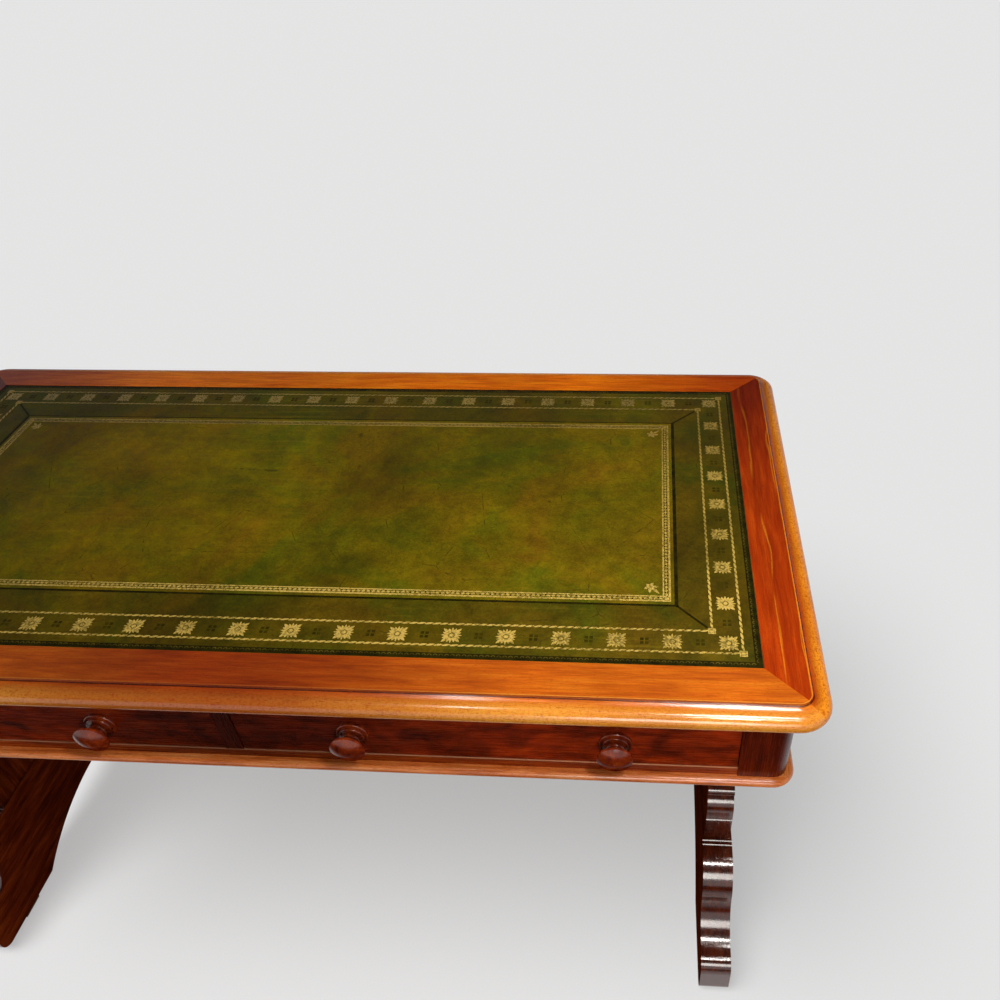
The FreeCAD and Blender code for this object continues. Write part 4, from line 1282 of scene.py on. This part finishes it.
    def row(
        self,
        pattern: bpy.types.Object,
        name: str,
        inset: float,
        step: float,
        margin: float,
        finish: bpy.types.Material,
    ) -> None:
        """Repeat a stamp along the four sides.

        Args:
            pattern: the stamp, at the origin.
            name: the rows' name.
            inset: distance of the row from the leather's edge in metres.
            step: wanted distance from stamp to stamp in metres.
            margin: length left free at each end in metres.
            finish: the rows' finish.
        """
        for side, length in self.runs(inset):
            span = length - 2 * margin
            gaps = max(1, round(span / step))
            piece = Bench.copy(pattern, f"{name}_{side.name.lower()}")
            Bench.repeat(piece, gaps + 1, span / gaps)
            self.lay(piece, side, inset, span)
            # The rows at the back take the darker gilt.
            worn = side is Side.BACK and finish is self.gilt
            self.mount(piece, self.back_gilt if worn else finish, "leather_green")
        bpy.data.objects.remove(pattern)

    def flower(self, name: str, reach: float) -> bpy.types.Object:
        """Stamp of an eight petal flower with four broad corner leaves.

        Args:
            name: the stamp's name.
            reach: half its side in metres.

        Returns:
            The stamp at the origin.
        """
        stamp = Bench.disc(name, 32, reach)
        Bench.pull(stamp, 8, (4,), 1.24)
        Bench.pull(stamp, 8, (3, 5), 0.84)
        Bench.pull(stamp, 8, (2, 6), 0.96)
        Bench.pull(stamp, 8, (1, 7), 0.62)
        Bench.thicken(stamp, self.relief)
        return stamp

    def tool_rosettes(self) -> None:
        """Stamp the gilt rosettes and the blind squares between them."""
        petals = []
        for share in range(self.petals):
            reach = self.petal_reaches[share % 4] * self.rosette_size
            lean = share * 2 * math.pi / self.petals
            petal = self.leaf("petal", reach - self.heart, self.petal_widths[share % 4], lean)
            middle = (reach + self.heart) / 2
            Bench.settle(petal, math.cos(lean) * middle, math.sin(lean) * middle, 0.0)
            petals.append(petal)
        heart = Bench.disc("heart", 16, self.heart)
        Bench.pull(heart, 2, (1,), 0.66)
        rosette = Bench.join([*petals, heart], "rosette")
        Bench.thicken(rosette, self.relief)
        square = Bench.sheet("square", self.square_size, self.square_size)
        Bench.take(square)
        bpy.ops.object.mode_set(mode="EDIT")
        bpy.ops.mesh.select_all(action="SELECT")
        bpy.ops.mesh.subdivide(number_cuts=1)
        bpy.ops.mesh.select_mode(type="FACE")
        bpy.ops.mesh.select_all(action="SELECT")
        bpy.ops.mesh.inset(thickness=self.square_rim, use_individual=True)
        bpy.ops.mesh.select_all(action="INVERT")
        bpy.ops.mesh.delete(type="FACE")
        bpy.ops.object.mode_set(mode="OBJECT")
        Bench.thicken(square, self.relief * 0.5)
        for side, length in self.runs(self.rosette_line):
            long = side.value[0] == 0
            gaps = (self.rosettes_long if long else self.rosettes_short) - 1
            step = length / gaps
            first = 0 if long else 1
            piece = Bench.copy(rosette, f"rosettes_{side.name.lower()}")
            Bench.repeat(piece, gaps + 1 - 2 * first, step)
            self.lay(piece, side, self.rosette_line, length - 2 * first * step)
            self.mount(piece, self.back_gilt if side is Side.BACK else self.gilt, "leather_green")
            piece = Bench.copy(square, f"blind_squares_{side.name.lower()}")
            Bench.repeat(piece, gaps, step)
            self.lay(piece, side, self.rosette_line, length - step)
            self.mount(piece, self.pressed, "leather_green")
        bpy.data.objects.remove(rosette)
        bpy.data.objects.remove(square)

    def leaf(self, name: str, length: float, width: float, lean: float) -> bpy.types.Object:
        """Stamp of one pointed leaf.

        Args:
            name: the stamp's name.
            length: its length in metres.
            width: its width in metres.
            lean: its lean from X in radians.

        Returns:
            The stamp at the origin, flat.
        """
        stamp = Bench.disc(name, 8, 0.5)
        Bench.pull(stamp, 8, (1, 3, 5, 7), 0.86)
        Bench.take(stamp)
        stamp.scale = (width, length, 1.0)
        stamp.rotation_euler = (0.0, 0.0, lean - math.pi / 2)
        bpy.ops.object.transform_apply(location=False, rotation=True, scale=True)
        return stamp

    def tool_ropes(self) -> None:
        """Roll the two gilt rope lines."""
        for name, inset in (("outer_rope", self.outer_line), ("inner_rope", self.inner_line)):
            strand = self.leaf("strand", *self.strand, self.strand_lean)
            Bench.thicken(strand, self.relief)
            self.row(strand, name, inset, self.rope_step, self.rope_margin, self.gilt)

    def tool_band(self) -> None:
        """Roll the gilt leaf band inside the seam, with its two border lines."""
        rising = self.leaf("rising_leaf", *self.band_leaf, self.band_lean)
        Bench.settle(rising, -3.0 * MM, 0.6 * MM, 0.0)
        falling = self.leaf("falling_leaf", *self.band_leaf, -self.band_lean)
        Bench.settle(falling, 3.4 * MM, 0.6 * MM, 0.0)
        unit = Bench.join([rising, falling], "band_leaf")
        Bench.thicken(unit, self.relief)
        self.row(unit, "leaf_band", self.band_line, self.band_step, self.band_margin, self.gilt)
        for name, edge, width in (("outer", -3.6 * MM, 2.6 * MM), ("inner", 4.4 * MM, 1.9 * MM)):
            inset = self.band_line + edge
            for side, length in self.runs(inset):
                clear = length - 2 * (self.band_corner - edge)
                self.line(f"band_line_{name}", side, inset, (clear, width, self.relief), self.gilt)

    def tool_corners(self) -> None:
        """Stamp the small squares where lines meet and the sprigs in the corners of the centre."""
        for name, inset, size in (
            ("outer_corner", self.outer_line, self.rope_corner),
            ("inner_corner", self.inner_line, self.rope_corner),
            ("band_corner", self.band_line, self.band_corner),
        ):
            stamps = []
            for x, y in CORNERS:
                ring = Bench.sheet("ring", 2 * size, 2 * size)
                Bench.hollow(ring, self.corner_rim)
                Bench.thicken(ring, self.relief)
                star = self.flower("star", size * 0.66)
                stamp = Bench.join([ring, star], "stamp")
                Bench.settle(stamp, *self.spot(inset, x, y))
                stamps.append(stamp)
            self.mount(Bench.join(stamps, f"{name}_squares"), self.gilt, "leather_green")
        sprigs = []
        for x, y in CORNERS:
            sprig = self.sprig(math.atan2(y, x))
            Bench.settle(sprig, *self.spot(self.sprig_line, x, y))
            sprigs.append(sprig)
        self.mount(Bench.join(sprigs, "corner_sprigs"), self.gilt, "leather_green")

    def sprig(self, outward: float) -> bpy.types.Object:
        """Stamp of a six leaved sprig.

        Args:
            outward: the way that its longest leaf points, in radians from X.

        Returns:
            The stamp at the origin.
        """
        leaves = []
        stem = Vector((math.cos(outward), math.sin(outward)))

        # Each leaf's lean from that way in radians, and its length and its foot's place in millimetres.
        for lean, length, shift in (
            (0.0, 15.0, -2.0),
            (0.8, 11.0, -3.5),
            (-0.8, 11.0, -3.5),
            (1.7, 8.0, -4.5),
            (-1.7, 8.0, -4.5),
            (math.pi, 6.0, -4.0),
        ):
            leaf = self.leaf("sprig_leaf", length * MM, self.sprig_width, outward + lean)
            away = Vector((math.cos(outward + lean), math.sin(outward + lean))) * length * 0.5 * MM
            base = stem * shift * MM
            Bench.settle(leaf, away.x + base.x, away.y + base.y, 0.0)
            leaves.append(leaf)
        made = Bench.join(leaves, "sprig")
        Bench.thicken(made, self.relief)
        return made

    def tool_fringe(self) -> None:
        """Roll the fringe along the edge: a scorched line and a row of dulled gilt lunettes."""
        arch = Bench.disc("lunette", 12, self.lunette)
        Bench.hollow(arch, self.lunette_rim)
        bpy.ops.object.mode_set(mode="EDIT")
        bpy.ops.mesh.select_all(action="SELECT")
        bpy.ops.mesh.bisect(plane_co=(0.0, 0.0, 0.0), plane_no=(0.0, 1.0, 0.0), clear_inner=True)
        bpy.ops.object.mode_set(mode="OBJECT")
        Bench.thicken(arch, self.relief * 0.5)
        dull = BlindStamp("dulled_gilt", "#3c340a", "#6c5d22").make()
        self.row(arch, "fringe", self.fringe, self.fringe_step, self.fringe_margin, dull)
        for side, length in self.runs(self.fringe):
            spare = self.fringe_width if side.value[0] == 0 else -self.fringe_width
            size = (length + spare, self.fringe_width, self.relief * 0.3)
            self.line("fringe_line", side, self.fringe, size, self.scorch)

    def close_seams(self) -> None:
        """Press a dark line over the seams and the mitres of the border strips, widened on some sides by
        painted shade of the seam's gap.
        """
        # Each width is the dark joint line and the painted shade of the seam's gap, widest at the left and
        # right.
        widths = {Side.FRONT: 3.4 * MM, Side.RIGHT: 4.6 * MM, Side.BACK: 2.0 * MM, Side.LEFT: 4.6 * MM}
        height = self.relief * 0.4
        for side, length in self.runs(self.seam_line):
            spare = widths[Side.RIGHT] if side.value[0] == 0 else -widths[Side.FRONT]
            size = (length + spare, widths[side], height)
            self.line("seam", side, self.seam_line, size, self.scorch)
        mitres = []
        reach = self.seam_line - self.inner_line - self.mitre_gap
        middle = self.seam_line - reach / 2
        for x, y in CORNERS:
            line = Bench.sheet("mitre", reach * math.sqrt(2), self.mitre_width)
            Bench.thicken(line, height)
            Bench.settle(line, *self.spot(middle, x, y), math.atan2(y, x))
            mitres.append(line)
        self.mount(Bench.join(mitres, "mitre_seams"), self.scorch, "leather_green")


@dataclass
class Frieze(Assembly):
    """Posts, rails, base moulding and the runners behind them."""

    # Height of the bottom rail's arris, where a highlight is painted.
    bottom_rail_arris: float = 631 * MM

    def dress(self) -> None:
        """Give the outside a dark red polish and leave the inside bare."""
        posts = Mahogany(
            "french_polished_mahogany_posts",
            "#340a02",
            "#5c1702",
            "#702403",
            grain=Grain.UPRIGHT,
            roughness=0.2,
            sheen=0.3,
        ).make()
        # The rails get painted shade towards the table's middle and a painted highlight on the bottom rail's
        # arris.
        rails = Mahogany(
            "french_polished_mahogany_rails",
            "#521603",
            "#842e05",
            "#a34608",
            sheen=0.3,
            arris=self.bottom_rail_arris,
            painted_shade=PaintedShade("#b4b4bc"),
        ).make()
        ends = Mahogany(
            "french_polished_mahogany_end_rails",
            "#4a1305",
            "#73240a",
            "#93390f",
            grain=Grain.DEEP,
            figure=Figure.FLAME,
            sheen=0.3,
        ).make()
        base, base_ends = [
            Mahogany(name, "#9a4416", "#d07030", "#e09050", grain=grain, sheen=0.7, roughness=0.2).make()
            for name, grain in (
                ("french_polished_mahogany_base", Grain.ACROSS),
                ("french_polished_mahogany_base_ends", Grain.DEEP),
            )
        ]
        fronts = flame_veneer("french_polished_mahogany_dummies").make()
        self.coat([f"post_{depth}_{end}" for depth in ("front", "back") for end in ("left", "right")], posts)
        self.coat(
            [f"{depth}_{rail}_rail" for depth in ("front", "back") for rail in ("bottom", "top")], rails
        )
        # The dividers' very dark tone is painted shade, matching the painted shade of the drawer fronts at
        # the table's middle.
        dividers = Mahogany(
            "french_polished_mahogany_dividers", "#2a0902", "#380c02", "#441203", Grain.UPRIGHT, sheen=0.3
        ).make()
        self.coat(["front_divider", "back_divider"], dividers)
        self.coat(["end_rail_left", "end_rail_right"], ends)
        self.coat(["base_moulding_front", "base_moulding_back"], base)
        self.coat(["base_moulding_left", "base_moulding_right"], base_ends)
        self.coat(["dummy_front_left", "dummy_front_right"], fronts)
        pine = PlainTimber("pine_runners", "#94703f", "#b8935a").make()
        self.coat([f"drawer_runner_{place}" for place in ("left", "centre", "right")], pine)
        self.coat(["drawer_guides", "drawer_kickers", "drawer_stops"], pine)


@dataclass
class Drawer(Assembly):
    """One drawer, named for its body: a flame veneered front, two turned knobs and an oak box."""

    def dress(self) -> None:
        """Veneer the front, polish the knobs and leave the oak bare."""
        front = flame_veneer(f"flame_mahogany_{self.body}").make()
        knobs = turned_knob(f"turned_mahogany_{self.body}").make()
        oak = PlainTimber(f"quartered_oak_{self.body}", "#7d5a30", "#a9834c").make()
        across = PlainTimber(f"quartered_oak_across_{self.body}", "#7d5a30", "#a9834c", Grain.ACROSS).make()
        self.coat([f"{self.body}_front"], front)
        self.coat([f"{self.body}_knobs"], knobs)
        self.coat([f"{self.body}_side_left", f"{self.body}_side_right"], oak)
        self.coat([f"{self.body}_back", f"{self.body}_bottom"], across)


@dataclass
class Stand(Assembly):
    """End supports, stretcher, knobs of the dummies, foot pads and screws."""

    def dress(self) -> None:
        """Give the supports a dark polish that shines on their front and back edges."""
        upright, feet = [
            Mahogany(
                name,
                "#2f0d04",
                "#571d08",
                "#74300f",
                grain=grain,
                roughness=0.1,
                sheen=1.0,
                dull=Dull.SIDES,
            ).make()
            for name, grain in (
                ("french_polished_mahogany_standards", Grain.UPRIGHT),
                ("french_polished_mahogany_feet", Grain.DEEP),
            )
        ]
        turned = Mahogany("turned_mahogany_stretcher", "#34100a", "#5c1f0b", "#7c3312", roughness=0.18).make()
        dummies = turned_knob("turned_mahogany_dummies").make()
        self.coat(["standard_left", "standard_right"], upright)
        self.coat(["foot_left", "foot_right", "bearer_left", "bearer_right"], feet)
        self.coat(["stretcher", "stretcher_bosses"], turned)
        self.coat(["dummy_knobs"], dummies)
        self.coat(["foot_pads"], PlainTimber("beech_pads", "#5b4022", "#74542f").make())
        self.coat(["top_screws", "bearer_screws"], ScrewSteel().make())


@dataclass(frozen=True)
class Lamp:
    """Soft box: its place, the point that it faces, its two sides in metres and its power in watts."""

    name: str
    place: tuple[float, float, float]
    aim: tuple[float, float, float]
    size: tuple[float, float]
    power: float
    tint: str = "#fffaf4"

    def hang(self, lit: bpy.types.Collection) -> None:
        """Hang the lamp, unseen by the camera.

        Args:
            lit: the collection that says what it lights.
        """
        light = bpy.data.lights.new(self.name, "AREA")
        light.shape = "RECTANGLE"
        light.size, light.size_y = self.size
        light.energy = self.power
        light.color = linear(self.tint)[:3]
        hung = bpy.data.objects.new(self.name, light)
        hung.location = self.place
        hung.rotation_euler = (Vector(self.aim) - Vector(self.place)).to_track_quat("-Z", "Y").to_euler()
        hung.visible_camera = False
        hung.light_linking.receiver_collection = lit
        bpy.context.scene.collection.objects.link(hung)


@dataclass
class Studio:
    """Paper floor and backdrop, black card, lamps and camera."""

    eye: tuple[float, float, float] = (0.4837, -0.9605, 1.4895)
    yaw: float = -0.0890056
    pitch: float = 0.7177258
    roll: float = 0.0367817
    lens: float = 31.24
    shift: tuple[float, float] = (-0.0823, 0.0507)
    floor_size: float = 60.0
    backdrop_radius: float = 29.0
    backdrop_height: float = 13.0
    card_middle: tuple[float, float] = (0.3, -1.35)
    card_half: tuple[float, float] = (2.2, 1.0)
    card_fade: tuple[float, float] = (0.6, 0.4)
    card_height: float = 2 * MM
    room_tint: str = "#d8d4cc"
    room_strength: float = 0.10
    sun_strength: float = 3.3
    sun_spread: float = math.radians(40.0)
    sun_way: tuple[float, float, float] = (0.30, 0.26, -0.91)
    lamps: tuple[Lamp, ...] = (
        Lamp("key_softbox", (0.72, -0.34, 1.75), (0.55, -0.2, 0.74), (0.30, 0.22), 7.6),
        Lamp("near_softbox", (0.72, -0.78, 1.70), (0.50, -0.30, 0.70), (0.12, 0.10), 5.2),
        Lamp("left_softbox", (0.09, -0.36, 1.75), (0.1, -0.15, 0.74), (0.055, 0.34), 1.5),
        Lamp("front_softbox", (0.62, -2.3, 1.35), (0.5, -0.3, 0.5), (0.7, 0.8), 16.0),
    )

    def light(self) -> None:
        """Light the table softly from above, stronger at its right end, and the paper by a sun of its own."""
        world = bpy.data.worlds.new("studio")
        bpy.context.scene.world = world
        world.use_nodes = True
        room = world.node_tree.nodes["Background"]
        room.inputs["Color"].default_value = linear(self.room_tint)
        room.inputs["Strength"].default_value = self.room_strength
        paper = bpy.data.objects["studio_floor"]
        only_paper = bpy.data.collections.new("only_paper")
        only_paper.objects.link(paper)
        all_but_paper = bpy.data.collections.new("all_but_paper")
        all_but_paper.objects.link(paper)
        all_but_paper.collection_objects[0].light_linking.link_state = "EXCLUDE"
        sun = bpy.data.lights.new("sky_panel", "SUN")
        sun.energy = self.sun_strength
        sun.angle = self.sun_spread
        sky = bpy.data.objects.new("sky_panel", sun)
        sky.light_linking.receiver_collection = only_paper
        sky.rotation_euler = Vector(self.sun_way).to_track_quat("-Z", "Y").to_euler()
        bpy.context.scene.collection.objects.link(sky)
        for lamp in self.lamps:
            lamp.hang(all_but_paper)

    def floor(self) -> None:
        """Lay the paper sweep."""
        Bench.clear()
        bpy.ops.mesh.primitive_plane_add(size=self.floor_size)
        paper = bpy.context.object
        paper.name = "studio_floor"
        paper.data.materials.append(StudioPaper().make())

    def card(self) -> None:
        """Lay a black card before the table, unseen, that keeps the pale paper out of the polish."""
        Bench.clear()
        bpy.ops.mesh.primitive_plane_add(size=2.0, location=(*self.card_middle, self.card_height))
        card = bpy.context.object
        card.name = "black_card"
        card.scale = (*self.card_half, 1.0)
        bpy.ops.object.transform_apply(location=True, rotation=False, scale=True)
        card.data.materials.append(BlackCard(self.card_middle, self.card_half, self.card_fade).make())
        card.visible_camera = False
        card.visible_shadow = False

    def wall(self) -> None:
        """Hang pale paper round the room, far off, that takes the floor's tone on above the horizon."""
        Bench.clear()
        bpy.ops.mesh.primitive_cylinder_add(
            vertices=96,
            radius=self.backdrop_radius,
            depth=self.backdrop_height,
            end_fill_type="NOTHING",
            location=(0.0, 0.0, self.backdrop_height / 2),
        )
        backdrop = bpy.context.object
        backdrop.name = "studio_backdrop"
        backdrop.data.materials.append(StudioPaper("backdrop_paper", evenness=1.0).make())
        backdrop.visible_diffuse = False
        backdrop.visible_shadow = False

    def camera(self) -> None:
        """Stand the camera at the photograph's place."""
        lens = bpy.data.cameras.new("camera")
        lens.sensor_width = 36.0
        lens.lens = self.lens
        lens.shift_x, lens.shift_y = self.shift
        lens.clip_end = 200.0
        flat = math.cos(self.pitch)
        ahead = Vector((math.sin(self.yaw) * flat, math.cos(self.yaw) * flat, -math.sin(self.pitch)))
        level = Vector((math.cos(self.yaw), -math.sin(self.yaw), 0.0))
        down = ahead.cross(level)
        right = level * math.cos(self.roll) + down * math.sin(self.roll)
        below = -level * math.sin(self.roll) + down * math.cos(self.roll)
        stand = bpy.data.objects.new("camera", lens)
        turn = Matrix((right, -below, -ahead)).transposed().to_4x4()
        stand.matrix_world = Matrix.Translation(self.eye) @ turn
        bpy.context.scene.collection.objects.link(stand)
        bpy.context.scene.camera = stand

    def build(self) -> None:
        """Set up the studio."""
        bpy.context.scene.view_settings.view_transform = "Standard"
        self.floor()
        self.card()
        self.wall()
        self.light()
        self.camera()


def main() -> None:
    """Build the table's looks in order."""
    Studio().build()
    drawers = [Drawer(body) for body in ("left_drawer", "right_drawer")]
    for part in (TopFrame(), LeatherTop(), Frieze(), *drawers, Stand()):
        part.dress()


if __name__ == "__main__":
    main()
